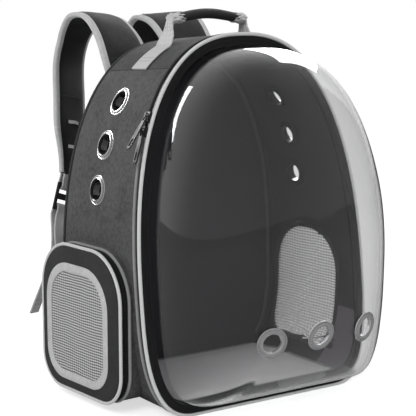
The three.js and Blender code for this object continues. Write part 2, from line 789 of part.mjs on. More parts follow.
function bandStations(points, widthAt) {
  return points.map((point, index) => {
    const before = points[Math.max(index - 1, 0)];
    const after = points[Math.min(index + 1, points.length - 1)];
    const along = after.clone().sub(before).normalize();
    const wide = widthAt(index / (points.length - 1));
    const width = wide.clone().addScaledVector(along, -wide.dot(along)).normalize();
    return { point, width, along, face: width.clone().cross(along) };
  });
}

function bandLoft(stations, sectionAt) {
  const last = stations.length - 1;
  return loft(stations.map(({ point, width, face }, index) => {
    return sectionAt(index / last).map(([across, thick]) => {
      return point.clone().addScaledVector(width, across).addScaledVector(face, thick);
    });
  }));
}

function flatSection(width, thickness) {
  const [w, t] = [width / 2, thickness / 2];
  return [[-w, -t], [w, -t], [w, t], [-w, t]];
}

function curvePoints(controls, count) {
  return new THREE.CatmullRomCurve3(controls, false, 'centripetal').getPoints(count);
}

// Top handle

const GRIP_END_SHARE = 0.8;

// How the webbing rises to the grip, as [beyond the grip's end, share of the rise]
const HANDLE_RISE_POINTS = [
  [6, 0.45],
  [3.5, 0.85],
  [WEBBING_THICKNESS, 1],
];

function handleTop() {
  return shellPoint(90, depthAt(90) - (BACK_Y - HANDLE_Y), 0).z + HANDLE_RISE;
}

function handleGrip() {
  const top = handleTop();
  const controls = [
    new THREE.Vector3(-GRIP_HALF_LENGTH, HANDLE_Y, top - GRIP_SAG),
    new THREE.Vector3(0, HANDLE_Y, top),
    new THREE.Vector3(GRIP_HALF_LENGTH, HANDLE_Y, top - GRIP_SAG),
  ];
  const stations = bandStations(curvePoints(controls, 8), () => new THREE.Vector3(0, 1, 0));
  const sectionAt = (share) => {
    const swell = GRIP_END_SHARE + (1 - GRIP_END_SHARE) * Math.sin(Math.PI * share) ** 0.5;
    return steps(0, 360, 8).slice(1).map((degrees) => {
      const angle = degToRad(degrees);
      return [swell * (GRIP_WIDTH / 2) * Math.cos(angle), swell * (GRIP_THICKNESS / 2) * Math.sin(angle)];
    });
  };
  return bandLoft(stations, sectionAt);
}

function handleWebbing(side) {
  const lift = WEBBING_THICKNESS / 2 + HANDLE_WEBBING_LIFT;
  const placeAt = (x) => {
    const turn = turnAtY(HANDLE_Y, 0, 90, (point) => point.x, x);
    const degrees = side > 0 ? turn : 180 - turn;
    return [degrees, depthAt(degrees) - (BACK_Y - HANDLE_Y)];
  };
  const onGusset = (x) => shellPoint(...placeAt(x), lift);
  const [degrees, fromFront] = placeAt((SEAM_HALF_WIDTH + HANDLE_LIFT_OFF) / 2);
  const downhill = shellPoint(degrees, fromFront + 1, 0).sub(shellPoint(degrees, fromFront, 0));
  const bend = onGusset(HANDLE_LIFT_OFF);
  const end = handleTop() - GRIP_SAG;
  const seam = steps(SEAM_HALF_WIDTH - GAP, HANDLE_LIFT_OFF, 6).slice(0, -1).map(onGusset);
  const rising = HANDLE_RISE_POINTS.map(([beyond, share]) => {
    return new THREE.Vector3(side * (GRIP_HALF_LENGTH + beyond), HANDLE_Y, lerp(bend.z, end, share));
  });
  const points = [...seam, ...curvePoints([bend, ...rising], 6)];
  const stations = bandStations(points, () => downhill);
  const gather = (share) => THREE.MathUtils.smoothstep(share, 0.45, 0.8);
  return bandLoft(stations, (share) => {
    const width = lerp(HANDLE_WEBBING_WIDTH, GRIP_WIDTH * GRIP_END_SHARE, gather(share));
    return flatSection(width, WEBBING_THICKNESS);
  });
}

// Shoulder straps, as [sideways from the spacing, behind the back panel, height]:
// shares of the spacing, of the reach and of the back's height

const STRAP_ROUTE = [
  [1.0, 0.0, 0.80],
  [1.0, 0.03, 0.86],
  [1.02, 0.14, 0.93],
  [1.04, 0.30, 1.01],
  [1.07, 0.52, 1.06],
  [1.12, 0.78, 1.062],
  [1.2, 0.96, 1.01],
  [1.32, 1.02, 0.93],
  [1.4, 0.98, 0.80],
  [1.52, 0.91, 0.68],
  [1.7, 0.85, 0.575],
];
const ADJUSTER_PLACE = [1.88, 0.84, 0.503];
const WEBBING_BOW = [2.5, 0.56, 0.36];
const TAB_TIP = [2.9, 0.31, 0.21];
const TAIL_BOW = [2.15, 0.83, 0.33];
const TAIL_END = [2.68, 0.93, 0.135];
const TAIL_TURN = -35;
const PAD_STEPS = 15;
const WEBBING_STEPS = 7;
const PAD_END_TAPER = 0.5;

function strapPoint(side, [sideways, behind, up]) {
  return new THREE.Vector3(
    side * STRAP_SPACING * sideways,
    BACK_Y + STRAP_THICKNESS / 2 + GAP + STRAP_REACH * behind,
    BACK_HEIGHT * up,
  );
}

function splayed(side, degrees, bank = 0) {
  return new THREE.Vector3(Math.cos(degToRad(degrees)), -side * Math.sin(degToRad(degrees)), side * bank);
}

function strapPad(side) {
  const points = curvePoints(STRAP_ROUTE.map((row) => strapPoint(side, row)), PAD_STEPS);
  const turnAt = (share) => {
    const bank = STRAP_BANK * Math.sin(Math.PI * share);
    return splayed(side, STRAP_SPLAY * THREE.MathUtils.smoothstep(share, 0.1, 0.65), bank);
  };
  const stations = bandStations(points, turnAt);
  const [w, t, e] = [STRAP_WIDTH / 2, STRAP_THICKNESS / 2, STRAP_EDGE_THICKNESS / 2];
  const i = w - STRAP_EDGE_WIDTH;
  return bandLoft(stations, (share) => {
    const taper = 1 - PAD_END_TAPER * THREE.MathUtils.smoothstep(share, 0.85, 1);
    const rows = [[-w, -e], [-i, -t], [i, -t], [w, -e], [w, e], [i, t], [-i, t], [-w, e]];
    return rows.map(([across, thick]) => [across * taper, thick]);
  });
}

// Local x across the webbing, y down along it and z out of its face
function adjusterFrame(side) {
  const origin = strapPoint(side, ADJUSTER_PLACE);
  const above = strapPoint(side, STRAP_ROUTE.at(-1));
  const along = origin.clone().sub(above).normalize();
  const wide = splayed(side, STRAP_SPLAY);
  const across = wide.addScaledVector(along, -wide.dot(along)).normalize();
  return { origin, across, along, out: across.clone().cross(along) };
}

function adjuster() {
  const half = ADJUSTER_LENGTH / 2;
  const slot = half - ADJUSTER_BAR - ADJUSTER_MIDDLE_BAR / 2;
  const middle = (ADJUSTER_MIDDLE_BAR + slot) / 2;
  const slotSize = [ADJUSTER_WIDTH - 2 * ADJUSTER_SIDE, slot, 2 * ADJUSTER_THICKNESS];
  const plate = box([ADJUSTER_WIDTH, ADJUSTER_LENGTH, ADJUSTER_THICKNESS], [0, 0, 0]);
  return cut(plate, box(slotSize, [0, middle, 0]), box(slotSize, [0, -middle, 0]));
}

// Webbing folded round an end bar of the adjuster, from behind it to its front
function foldRound(frame, end) {
  const radius = ADJUSTER_THICKNESS / 2 + WEBBING_THICKNESS / 2 + GAP;
  const centre = end * (ADJUSTER_LENGTH / 2 - ADJUSTER_BAR);
  return steps(-90, 90, 4).map((degrees) => {
    const angle = degToRad(degrees);
    return inFrame(frame, 0, centre - end * radius * Math.cos(angle), radius * Math.sin(angle));
  });
}

function strapTongue(side) {
  const frame = adjusterFrame(side);
  const padEnd = frame.origin.distanceTo(strapPoint(side, STRAP_ROUTE.at(-1)));
  const lift = STRAP_THICKNESS / 4;
  const behind = inFrame(frame, 0, -padEnd + 4 * GAP, -lift);
  const before = inFrame(frame, 0, -padEnd + 4 * GAP, lift);
  const points = [behind, ...foldRound(frame, -1), before];
  const stations = bandStations(points, () => frame.across);
  return bandLoft(stations, () => flatSection(STRAP_WEBBING_WIDTH, WEBBING_THICKNESS));
}

function strapWebbing(side) {
  const frame = adjusterFrame(side);
  const lift = ADJUSTER_THICKNESS / 2 + WEBBING_THICKNESS + 2 * GAP;
  const leave = inFrame(frame, 0, ADJUSTER_LENGTH / 2 + ADJUSTER_BAR, -lift);
  const drop = inFrame(frame, 0, ADJUSTER_LENGTH / 2 + ADJUSTER_BAR, lift);
  const { tip, along, inward } = tabPlace(side);
  const start = tip.clone().addScaledVector(along, 2 * GAP);
  const main = curvePoints([start, strapPoint(side, WEBBING_BOW), leave], WEBBING_STEPS);
  const tail = curvePoints([drop, strapPoint(side, TAIL_BOW), strapPoint(side, TAIL_END)], WEBBING_STEPS);
  const points = [...main, ...foldRound(frame, 1), ...tail];
  const tailTurn = splayed(side, -TAIL_TURN);
  const stations = bandStations(points, (share) => {
    if (share < 0.5) return inward.clone().lerp(frame.across, THREE.MathUtils.smoothstep(share, 0, 0.3));
    return frame.across.clone().lerp(tailTurn, THREE.MathUtils.smoothstep(share, 0.65, 1));
  });
  return bandLoft(stations, () => flatSection(STRAP_WEBBING_WIDTH, WEBBING_THICKNESS));
}

function tabRoot(side) {
  const turn = turnAtY(BACK_Y, BASE_RIGHT, 0, (point) => point.z, TAB_BOTTOM);
  const edge = shellPoint(turn, depthAt(turn), 0);
  return new THREE.Vector3(side * (edge.x - TAB_THICKNESS), BACK_Y + GAP, TAB_BOTTOM);
}

// The tab stands upright from the back seam; its end edge is square to the webbing.
function tabPlace(side) {
  const tip = strapPoint(side, TAB_TIP);
  const level = tip.clone().sub(tabRoot(side)).setZ(0).normalize();
  const upright = new THREE.Vector3(0, 0, 1);
  const pull = strapPoint(side, WEBBING_BOW).sub(tip);
  const along = level.clone().multiplyScalar(pull.dot(level)).setZ(pull.z).normalize();
  const inward = along.clone().cross(level.clone().cross(upright)).normalize();
  return { tip, level, upright, along, inward };
}

function strapTab(side) {
  const root = tabRoot(side);
  const { tip, level, upright, inward } = tabPlace(side);
  const flat = (point) => {
    const from = point.clone().sub(root);
    return new THREE.Vector2(from.dot(level), from.z);
  };
  const half = STRAP_WEBBING_WIDTH / 2;
  const ends = [-half, half].map((reach) => flat(tip.clone().addScaledVector(inward, reach)));
  const [near, far] = ends.sort((a, b) => a.x - b.x);
  const corners = [new THREE.Vector2(0, 0), far, near, new THREE.Vector2(0, TAB_ROOT_HEIGHT)];
  const plate = extruded(new THREE.Shape(corners), TAB_THICKNESS, -TAB_THICKNESS / 2);
  return framed(plate, { origin: root, across: level, along: upright, out: level.clone().cross(upright) });
}

// Materials

const paint = (color, roughness, metalness = 0, more = {}) => {
  return new THREE.MeshStandardMaterial({ color, roughness, metalness, ...more });
};
const heather = paint(0x4d4d50, 0.9);
const charcoal = paint(0x2b2a2e, 0.85);
const black = paint(0x161618, 0.6);
const paleGrey = paint(0xc9c9c9, 0.8);
const silverGrey = paint(0x9a9a9c, 0.8);
const meshGrey = paint(0xb4b4b4, 0.8);
const chrome = paint(0xe4e4e6, 0.12, 1);
const clear = paint(0xf4f6f8, 0.04, 0, { transparent: true, opacity: 0.3 });

// Assembly

const group = new THREE.Group();

function add(name, geometry, material) {
  const mesh = new THREE.Mesh(geometry, material);
  mesh.name = name;
  group.add(mesh);
}

add('lower_gusset', lowerGusset(), heather);
add('top_gusset', topGusset(), heather);
add('back_panel', backPanel(), charcoal);
add('back_binding', backBinding(), black);
add('outer_piping', archRing(pipingSection(OUTER_PIPING_AT, PIPING_SINK, PIPING_RADIUS)), silverGrey);
add('zipper_tape', zipperTape(), black);
add('door_piping', archRing(pipingSection(0, PIPING_SINK, DOOR_PIPING_RADIUS)), paleGrey);
add('door_band', doorBand(), black);
add('floor_mat', floorMat(), silverGrey);
add('side_window_mesh', windowMesh(), meshGrey);
add('side_window_binding', windowBinding(), charcoal);

const domeCutters = grommetPlaces.map(eyeletCutter);
add('dome', cut(dome, ...domeCutters), clear);
grommetPlaces.forEach(({ point, direction }, index) => {
  const grip = DOME_THICKNESS + DOME_CURVE_CLEARANCE;
  const ring = closedLathe(eyeletProfile(grip, GROMMET_SEAT), EYELET_SIDES);
  add(`dome_grommet_${index + 1}`, aimed(ring, point, direction), chrome);
});

eyeletPlaces.forEach(({ point, direction }, index) => {
  const side = index < EYELETS_FROM_SEAM.length ? 'left' : 'right';
  const number = (index % EYELETS_FROM_SEAM.length) + 1;
  const ring = closedLathe(eyeletProfile(WASHER_END + GAP, GAP), EYELET_SIDES);
  add(`eyelet_${side}_${number}`, aimed(ring, point, direction), chrome);
  add(`eyelet_washer_${side}_${number}`, aimed(eyeletWasher(), point, direction), black);
});

const meshFrom = POCKET_FACE_TOP - 1.5 * MESH_THICKNESS;
const faceFrom = POCKET_FACE_TOP - POCKET_WALL;
const faceInset = PIPING_SINK + PIPING_RADIUS + GAP;
const zipperOuter = pocketPanel(PIPING_SINK);
const zipperInner = pocketPanel(PIPING_SINK + ZIPPER_THICKNESS);
add('pocket_gusset', pocketGusset(), heather);
add('pocket_strip', pocketPiece(panelPiping(pocketPanel, POCKET_STRIP_AT, PIPING_RADIUS)), silverGrey);
add('pocket_zipper', pocketPiece(
  panelFrame(zipperOuter, zipperInner, POCKET_ZIPPER_LOW, POCKET_ZIPPER_TOP),
), black);
add('pocket_piping', pocketPiece(panelPiping(pocketPanel, POCKET_EDGE_AT, PIPING_RADIUS)), paleGrey);
add('pocket_face', pocketPiece(
  panelFrame(pocketPanel(faceInset), pocketWindow(-GAP), faceFrom, POCKET_FACE_TOP),
), charcoal);
add('pocket_window_binding', pocketPiece(
  panelFrame(pocketWindow(0), pocketWindow(POCKET_BINDING), faceFrom - GAP, POCKET_FACE_TOP + 2 * GAP),
), paleGrey);
add('pocket_window_mesh', pocketPiece(
  extruded(pocketWindow(POCKET_BINDING + GAP), MESH_THICKNESS, meshFrom),
), meshGrey);

add('slider_upper', framed(sliderBody(), upperSlider), black);
add('slider_lower', framed(sliderBody(), lowerSlider), black);
add('slider_pocket', framed(sliderBody(), pocketSlider), black);
add('pull_upper', framed(pullTab(UPPER_PULL_LENGTH, UPPER_PULL_LIFT), upperSlider), black);
add('pull_lower', framed(pullTab(LOWER_PULL_LENGTH, 0), lowerSlider), black);
add('pull_pocket', framed(pullTab(POCKET_PULL_LENGTH, 0), pocketSlider), black);

add('handle_grip', handleGrip(), charcoal);
for (const [name, side] of [['left', -1], ['right', 1]]) {
  add(`handle_webbing_${name}`, handleWebbing(side), paleGrey);
  add(`strap_pad_${name}`, strapPad(side), charcoal);
  add(`strap_tongue_${name}`, strapTongue(side), paleGrey);
  add(`strap_adjuster_${name}`, framed(adjuster(), adjusterFrame(side)), black);
  add(`strap_webbing_${name}`, strapWebbing(side), paleGrey);
  add(`strap_tab_${name}`, strapTab(side), charcoal);
}

export default group;
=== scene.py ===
"""Bubble pet carrier backpack: the finish of every surface, in metres."""
import math

import bmesh
import bpy
import numpy as np
from mathutils import Matrix, Vector


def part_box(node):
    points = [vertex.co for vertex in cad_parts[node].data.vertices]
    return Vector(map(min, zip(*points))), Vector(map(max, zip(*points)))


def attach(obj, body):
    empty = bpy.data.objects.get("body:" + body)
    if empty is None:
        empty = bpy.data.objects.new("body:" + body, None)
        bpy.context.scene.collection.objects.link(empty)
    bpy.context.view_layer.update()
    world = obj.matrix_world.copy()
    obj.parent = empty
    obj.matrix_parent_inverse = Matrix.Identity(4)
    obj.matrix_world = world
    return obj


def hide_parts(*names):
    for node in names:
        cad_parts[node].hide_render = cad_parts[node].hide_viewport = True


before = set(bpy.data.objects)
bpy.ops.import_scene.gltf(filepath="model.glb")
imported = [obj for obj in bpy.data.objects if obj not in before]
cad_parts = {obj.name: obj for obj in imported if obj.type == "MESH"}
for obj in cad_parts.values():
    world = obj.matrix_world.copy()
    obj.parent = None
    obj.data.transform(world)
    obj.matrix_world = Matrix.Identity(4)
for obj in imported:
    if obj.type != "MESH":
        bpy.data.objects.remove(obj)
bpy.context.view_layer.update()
BODY = "carrier"

# Arch of the bag, as the frame has it
FRONT_HALF_WIDTH = 0.160
BACK_HALF_WIDTH = 0.157
FRONT_HEIGHT = 0.420
BACK_HEIGHT = 0.410
WIDEST_HEIGHT = 0.124
BASE_FLAT_HALF = 0.095
ARCH_EXPONENT = 2.43
CORNER_EXPONENT = 2.8
FRONT_Y = -0.100
BACK_Y = 0.100
FRONT_LEAN = 0.051
SEAM_HALF_WIDTH = 0.0945
GAP = 0.0003
WALL = 0.003
ARCH_STEP = 1.5

# Front frame: radii of the pipings, distances back from the front edge, and the insets of the door's band
DOOR_PIPING = 0.0022
PIPING = 0.002
PIPING_SINK = 0.0008
ZIPPER_START = 0.0025
ZIPPER_END = 0.0082
OUTER_PIPING_AT = 0.0105
GUSSET_START = 0.0128
BINDING_WIDTH = 0.0067
BAND_OUTER = 0.0036
BAND_INNER = 0.0130
BAND_HALF = 0.0015

# Clear bubble. Its lip is darker below the first of two heights, and the dark fades out at the second.
DOME_INSET = 0.0136
DOME_FLANGE = 0.008
DOME_BULGE = 0.130
DOME_THICKNESS = 0.002
DOME_CENTRE = 0.255
DOME_EXPONENTS = (2.4, 2.9)
DOME_ROUNDNESS = (1.8, 2.6)
DOME_RINGS = 26
DOME_LIP = (0.0175, 0.023)

# Round metal eyelets. On those of the walls, shade is painted in black on the inner part of the crown, inside
# the last radius below, and in the groove.
HOLE_RADIUS = 0.0108
FLANGE_RADIUS = 0.0175
CUT_RADIUS = HOLE_RADIUS + 0.0019
RING_SIDES = 56
EYELET_BARREL = 0.0105
GROMMET_BARREL = 0.0072
# Radius inside which the wall eyelets get painted shade
SHADED_MOUTH = 0.0131

# Where a cloth changes: low on the right the lining is painted paler and lilac, as painted light where light
# falls on the lower wall, and the outer piping turns dark high up
LIT_LINING_TOP = 0.081
LIT_LINING_FROM_X = 0.09
DARK_PIPING_FROM = 0.322

# Straps and handle
STRAP_WIDTH = 0.072
STRAP_SPACING = 0.048
STRAP_REACH = 0.140
STRAP_THICKNESS = 0.010
STRAP_SPLAY = 30
STRAP_BANK = 0.07
PAD_END_TAPER = 0.5
WEBBING_WIDTH = 0.025
WEBBING_THICKNESS = 0.002
HANDLE_Y = 0.022
HANDLE_FROM_BACK = BACK_Y - HANDLE_Y
HANDLE_RISE = 0.027
GRIP_HALF = 0.049
GRIP_SAG = 0.006
GRIP_WIDTH = 0.020
GRIP_THICKNESS = 0.012


def mix(a, b, share):
    return a + (b - a) * share


def smoothstep(value, low, high):
    share = min(max((value - low) / (high - low), 0.0), 1.0)
    return share * share * (3 - 2 * share)


def solve(low, high, value_at, target):
    rising = value_at(high) > value_at(low)
    for _ in range(40):
        middle = (low + high) / 2
        if (value_at(middle) < target) == rising:
            low = middle
        else:
            high = middle
    return (low + high) / 2


# Arch: -90 degrees is the right end of the flat base, 90 the top, 270 the left end

def arch_point(half_width, height, turn):
    """Point (x, z) of an arch: a rounded top, and below the widest height round corners and a flat base."""
    across = math.cos(math.radians(turn))
    up = math.sin(math.radians(turn))
    if up < 0:
        reach = abs(across) ** (2 / CORNER_EXPONENT)
        rise = 1 - abs(up) ** (2 / CORNER_EXPONENT)
        x = BASE_FLAT_HALF + (half_width - BASE_FLAT_HALF) * reach
        return Vector((math.copysign(x, across), WIDEST_HEIGHT * rise))
    x = half_width * abs(across) ** (2 / ARCH_EXPONENT)
    z = mix(WIDEST_HEIGHT, height, up ** (2 / ARCH_EXPONENT))
    return Vector((math.copysign(x, across), z))


def arch_normal(turn):
    before = arch_point(FRONT_HALF_WIDTH, FRONT_HEIGHT, max(turn - 0.05, -90))
    after = arch_point(FRONT_HALF_WIDTH, FRONT_HEIGHT, min(turn + 0.05, 270))
    along = (after - before).normalized()
    return Vector((along.y, -along.x))


def front_y(z):
    return FRONT_Y + FRONT_LEAN * z / FRONT_HEIGHT


def depth_at(turn):
    return BACK_Y - front_y(arch_point(FRONT_HALF_WIDTH, FRONT_HEIGHT, turn).y)


def shell_point(turn, from_front, out=0.0):
    """Point of the wall's outer face, so far behind its front edge, and moved outwards by out."""
    front = arch_point(FRONT_HALF_WIDTH, FRONT_HEIGHT, turn)
    back = arch_point(BACK_HALF_WIDTH, BACK_HEIGHT, turn)
    flat = front.lerp(back, from_front / depth_at(turn)) + arch_normal(turn) * out
    return Vector((flat.x, front_y(front.y) + from_front, max(flat.y, 0.0)))


def back_point(turn, from_back, out=0.0):
    """The same, counted forwards from the back edge."""
    return shell_point(turn, depth_at(turn) - from_back, out)


def turns(low=-90.0, high=270.0, step=ARCH_STEP):
    count = round((high - low) / step)
    return [mix(low, high, index / count) for index in range(count + 1)]


SEAM_RIGHT = math.degrees(math.acos((SEAM_HALF_WIDTH / FRONT_HALF_WIDTH) ** (ARCH_EXPONENT / 2)))
SEAM_LEFT = 180 - SEAM_RIGHT
ALL_ROUND = turns()


# Bodies: a ring of points is extruded from place to place

def put(bm, rings, closed=False, capped=True):
    """Adds a body through rings of equal length to bm and returns its faces."""
    first = [bm.verts.new(point) for point in rings[0]]
    count = len(first)
    edges = [bm.edges.new((first[side], first[(side + 1) % count])) for side in range(count)]
    first_edges = list(edges)
    ring = first
    places = rings[1:] + ([rings[0]] if closed else [])
    faces = []
    for points in places:
        grown = bmesh.ops.extrude_edge_only(bm, edges=edges)["geom"]
        fresh = {part for part in grown if isinstance(part, bmesh.types.BMVert)}
        faces += [part for part in grown if isinstance(part, bmesh.types.BMFace)]
        follow = {}
        for vert in fresh:
            for edge in vert.link_edges:
                other = edge.other_vert(vert)
                if other not in fresh:
                    follow[other] = vert
        ring = [follow[vert] for vert in ring]
        for vert, point in zip(ring, points):
            vert.co = point
        edges = [part for part in grown if isinstance(part, bmesh.types.BMEdge)
                 and part.verts[0] in fresh and part.verts[1] in fresh]
    if closed:
        bmesh.ops.remove_doubles(bm, verts=first + ring, dist=1e-7)
    elif capped:
        for rim in (first_edges, edges):
            faces += bmesh.ops.contextual_create(bm, geom=rim)["faces"]
    return faces


def mesh_piece(name, bm, materials, replaces=(), body=BODY, smooth=40, turn_out=True):
    bmesh.ops.remove_doubles(bm, verts=bm.verts, dist=1e-7)
    if turn_out:
        bmesh.ops.recalc_face_normals(bm, faces=bm.faces)
    mesh = bpy.data.meshes.new(name)
    bm.to_mesh(mesh)
    bm.free()
    for polygon in mesh.polygons:
        polygon.use_smooth = True
    mesh.set_sharp_from_angle(angle=math.radians(smooth))
    piece = bpy.data.objects.new(name, mesh)
    bpy.context.scene.collection.objects.link(piece)
    for material in materials if isinstance(materials, (list, tuple)) else [materials]:
        mesh.materials.append(material)
    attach(piece, body)
    if replaces:
        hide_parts(*replaces)
    return piece


def swept(name, rings, material, replaces=(), closed=False, smooth=40):
    bm = bmesh.new()
    put(bm, rings, closed)
    return mesh_piece(name, bm, material, replaces, smooth=smooth)


def crosswise(rows):
    """Rings that each take one point from every row."""
    return [list(ring) for ring in zip(*rows)]


def trimmed(piece, tools):
    """Cuts the piece with each tool, given as (object, operation), and removes the tools."""
    for tool, operation in tools:
        cutter = piece.modifiers.new("cut", "BOOLEAN")
        cutter.object = tool
        cutter.operation = operation
        cutter.solver = "EXACT"
    bpy.context.view_layer.update()
    evaluated = piece.evaluated_get(bpy.context.evaluated_depsgraph_get())
    finished = bpy.data.meshes.new_from_object(evaluated)
    piece.modifiers.clear()
    piece.data = finished
    for tool, _ in tools:
        bpy.data.objects.remove(tool)


def tool_piece(bm):
    bmesh.ops.recalc_face_normals(bm, faces=bm.faces)
    mesh = bpy.data.meshes.new("tool")
    bm.to_mesh(mesh)
    bm.free()
    tool = bpy.data.objects.new("tool", mesh)
    bpy.context.scene.collection.objects.link(tool)
    return tool


# Shader parts

def socketed_group(name, inputs, outputs):
    group = bpy.data.node_groups.new(name, "ShaderNodeTree")
    for label, kind, value in inputs:
        socket = group.interface.new_socket(name=label, in_out="INPUT", socket_type=kind)
        if value is not None:
            socket.default_value = value
    for label, kind in outputs:
        group.interface.new_socket(name=label, in_out="OUTPUT", socket_type=kind)
    return group, group.nodes.new("NodeGroupInput"), group.nodes.new("NodeGroupOutput")


def maths(tree, operation, *values):
    node = tree.nodes.new("ShaderNodeMath")
    node.operation = operation
    for index, value in enumerate(values):
        if isinstance(value, (int, float)):
            node.inputs[index].default_value = value
        else:
            tree.links.new(value, node.inputs[index])
    return node.outputs[0]


def noise(tree, vector, scale, detail):
    node = tree.nodes.new("ShaderNodeTexNoise")
    tree.links.new(vector, node.inputs["Vector"])
    node.inputs["Scale"].default_value = scale
    node.inputs["Detail"].default_value = detail
    return node.outputs["Fac"]


def blended(tree, factor, first, second):
    node = tree.nodes.new("ShaderNodeMix")
    node.data_type = "RGBA"
    tree.links.new(factor, node.inputs[0])
    for socket, value in ((node.inputs[6], first), (node.inputs[7], second)):
        if isinstance(value, tuple):
            socket.default_value = value
        else:
            tree.links.new(value, socket)
    return node.outputs[2]


def blended_value(tree, factor, first, second):
    """first + factor * (second - first)"""
    return maths(tree, "MULTIPLY_ADD", factor, maths(tree, "SUBTRACT", second, first), first)


def eased(tree, value, low, high, first, last):
    """Goes smoothly from first to last while value goes from low to high."""
    node = tree.nodes.new("ShaderNodeMapRange")
    node.interpolation_type = "SMOOTHSTEP"
    for socket, number in (("From Min", low), ("From Max", high), ("To Min", first), ("To Max", last)):
        node.inputs[socket].default_value = number
    tree.links.new(value, node.inputs["Value"])
    return node.outputs["Result"]


def cloth_group():
    """Close weave with flecks: colour and height from Object coordinates."""
    group, given, out = socketed_group(
        "close weave",
        [("Vector", "NodeSocketVector", None), ("Dark", "NodeSocketColor", (0.02, 0.02, 0.02, 1)),
         ("Light", "NodeSocketColor", (0.1, 0.1, 0.1, 1)), ("Threads", "NodeSocketFloat", 900.0),
         ("Flecks", "NodeSocketFloat", 0.5)],
        [("Color", "NodeSocketColor"), ("Height", "NodeSocketFloat")],
    )
    vector = given.outputs["Vector"]
    threads = maths(group, "MULTIPLY", given.outputs["Threads"], 2 * math.pi)
    part = group.nodes.new("ShaderNodeSeparateXYZ")
    group.links.new(vector, part.inputs[0])
    sideways = maths(group, "ADD", part.outputs["X"], part.outputs["Y"])
    warp = maths(group, "SINE", maths(group, "MULTIPLY", sideways, threads))
    weft = maths(group, "SINE", maths(group, "MULTIPLY", part.outputs["Z"], threads))
    weave = maths(group, "MULTIPLY_ADD", maths(group, "MULTIPLY", warp, weft), 0.5, 0.5)
    fine = noise(group, vector, 1100.0, 3.0)
    coarse = noise(group, vector, 210.0, 2.0)
    broad = noise(group, vector, 24.0, 2.0)
    fleck = maths(group, "MULTIPLY_ADD", maths(group, "SUBTRACT", fine, 0.5), 2.6, 0.5)
    patch = maths(group, "MULTIPLY_ADD", maths(group, "SUBTRACT", coarse, 0.5), 2.6, 0.5)
    both = maths(group, "MULTIPLY_ADD", maths(group, "SUBTRACT", patch, fleck), 0.45, fleck)
    both = maths(group, "MULTIPLY_ADD", maths(group, "SUBTRACT", broad, 0.5), 0.8, both)
    mottled = maths(group, "MULTIPLY", both, given.outputs["Flecks"])
    plain = maths(group, "SUBTRACT", 1.0, given.outputs["Flecks"])
    share = maths(group, "MULTIPLY_ADD", plain, weave, mottled)
    clamp = group.nodes.new("ShaderNodeClamp")
    group.links.new(share, clamp.inputs[0])
    colour = blended(group, clamp.outputs[0], given.outputs["Dark"], given.outputs["Light"])
    group.links.new(colour, out.inputs["Color"])
    height = maths(group, "MULTIPLY_ADD", fine, 0.6, weave)
    group.links.new(height, out.inputs["Height"])
    return group


def ribbed_group():
    """Ribs that follow a band, from its own lengths along and across."""
    group, given, out = socketed_group(
        "ribbed band",
        [("Along", "NodeSocketFloat", 0.0), ("Across", "NodeSocketFloat", 0.0),
         ("Dark", "NodeSocketColor", (0.2, 0.2, 0.2, 1)), ("Light", "NodeSocketColor", (0.6, 0.6, 0.6, 1)),
         ("Rib", "NodeSocketFloat", 0.0016), ("Cord", "NodeSocketFloat", 0.0023)],
        [("Color", "NodeSocketColor"), ("Height", "NodeSocketFloat")],
    )
    waves = []
    for label, pitch in (("Along", "Rib"), ("Across", "Cord")):
        phase = maths(group, "DIVIDE", given.outputs[label], given.outputs[pitch])
        waves.append(maths(group, "SINE", maths(group, "MULTIPLY", phase, 2 * math.pi)))
    both = maths(group, "MULTIPLY_ADD", waves[1], 0.6, waves[0])
    share = maths(group, "MULTIPLY_ADD", both, 0.28, 0.5)
    clamp = group.nodes.new("ShaderNodeClamp")
    group.links.new(share, clamp.inputs[0])
    colour = blended(group, clamp.outputs[0], given.outputs["Dark"], given.outputs["Light"])
    group.links.new(colour, out.inputs["Color"])
    group.links.new(share, out.inputs["Height"])
    return group


CLOSE_WEAVE = cloth_group()
RIBBED_BAND = ribbed_group()


def shaded(name, roughness, sheen=0.0):
    material = bpy.data.materials.new(name)
    material.use_nodes = True
    surface = material.node_tree.nodes["Principled BSDF"]
    surface.inputs["Roughness"].default_value = roughness
    surface.inputs["Sheen Weight"].default_value = sheen
    surface.inputs["Sheen Roughness"].default_value = 0.5
    return material, material.node_tree, surface


def bumped(tree, surface, height, strength, distance):
    bump = tree.nodes.new("ShaderNodeBump")
    bump.inputs["Strength"].default_value = strength
    bump.inputs["Distance"].default_value = distance
    tree.links.new(height, bump.inputs["Height"])
    tree.links.new(bump.outputs[0], surface.inputs["Normal"])


def cloth(name, dark, light, flecks, threads=700.0, bump=0.5):
    material, tree, surface = shaded(name, 0.9, 0.04)
    weave = tree.nodes.new("ShaderNodeGroup")
    weave.node_tree = CLOSE_WEAVE
    place = tree.nodes.new("ShaderNodeTexCoord")
    tree.links.new(place.outputs["Object"], weave.inputs["Vector"])
    weave.inputs["Dark"].default_value = (*dark, 1)
    weave.inputs["Light"].default_value = (*light, 1)
    weave.inputs["Threads"].default_value = threads
    weave.inputs["Flecks"].default_value = flecks
    tree.links.new(weave.outputs["Color"], surface.inputs["Base Color"])
    bumped(tree, surface, weave.outputs["Height"], bump, 0.0004)
    return material


def band_cloth(name, dark, light, rib=0.0016, cord=0.0023, bump=0.6, roughness=0.75):
    material, tree, surface = shaded(name, roughness, 0.2)
    ribs = tree.nodes.new("ShaderNodeGroup")
    ribs.node_tree = RIBBED_BAND
    for label in ("Along", "Across"):
        length = tree.nodes.new("ShaderNodeAttribute")
        length.attribute_name = label.lower()
        tree.links.new(length.outputs["Fac"], ribs.inputs[label])
    ribs.inputs["Dark"].default_value = (*dark, 1)
    ribs.inputs["Light"].default_value = (*light, 1)
    ribs.inputs["Rib"].default_value = rib
    ribs.inputs["Cord"].default_value = cord
    tree.links.new(ribs.outputs["Color"], surface.inputs["Base Color"])
    bumped(tree, surface, ribs.outputs["Height"], bump, 0.0003)
    return material


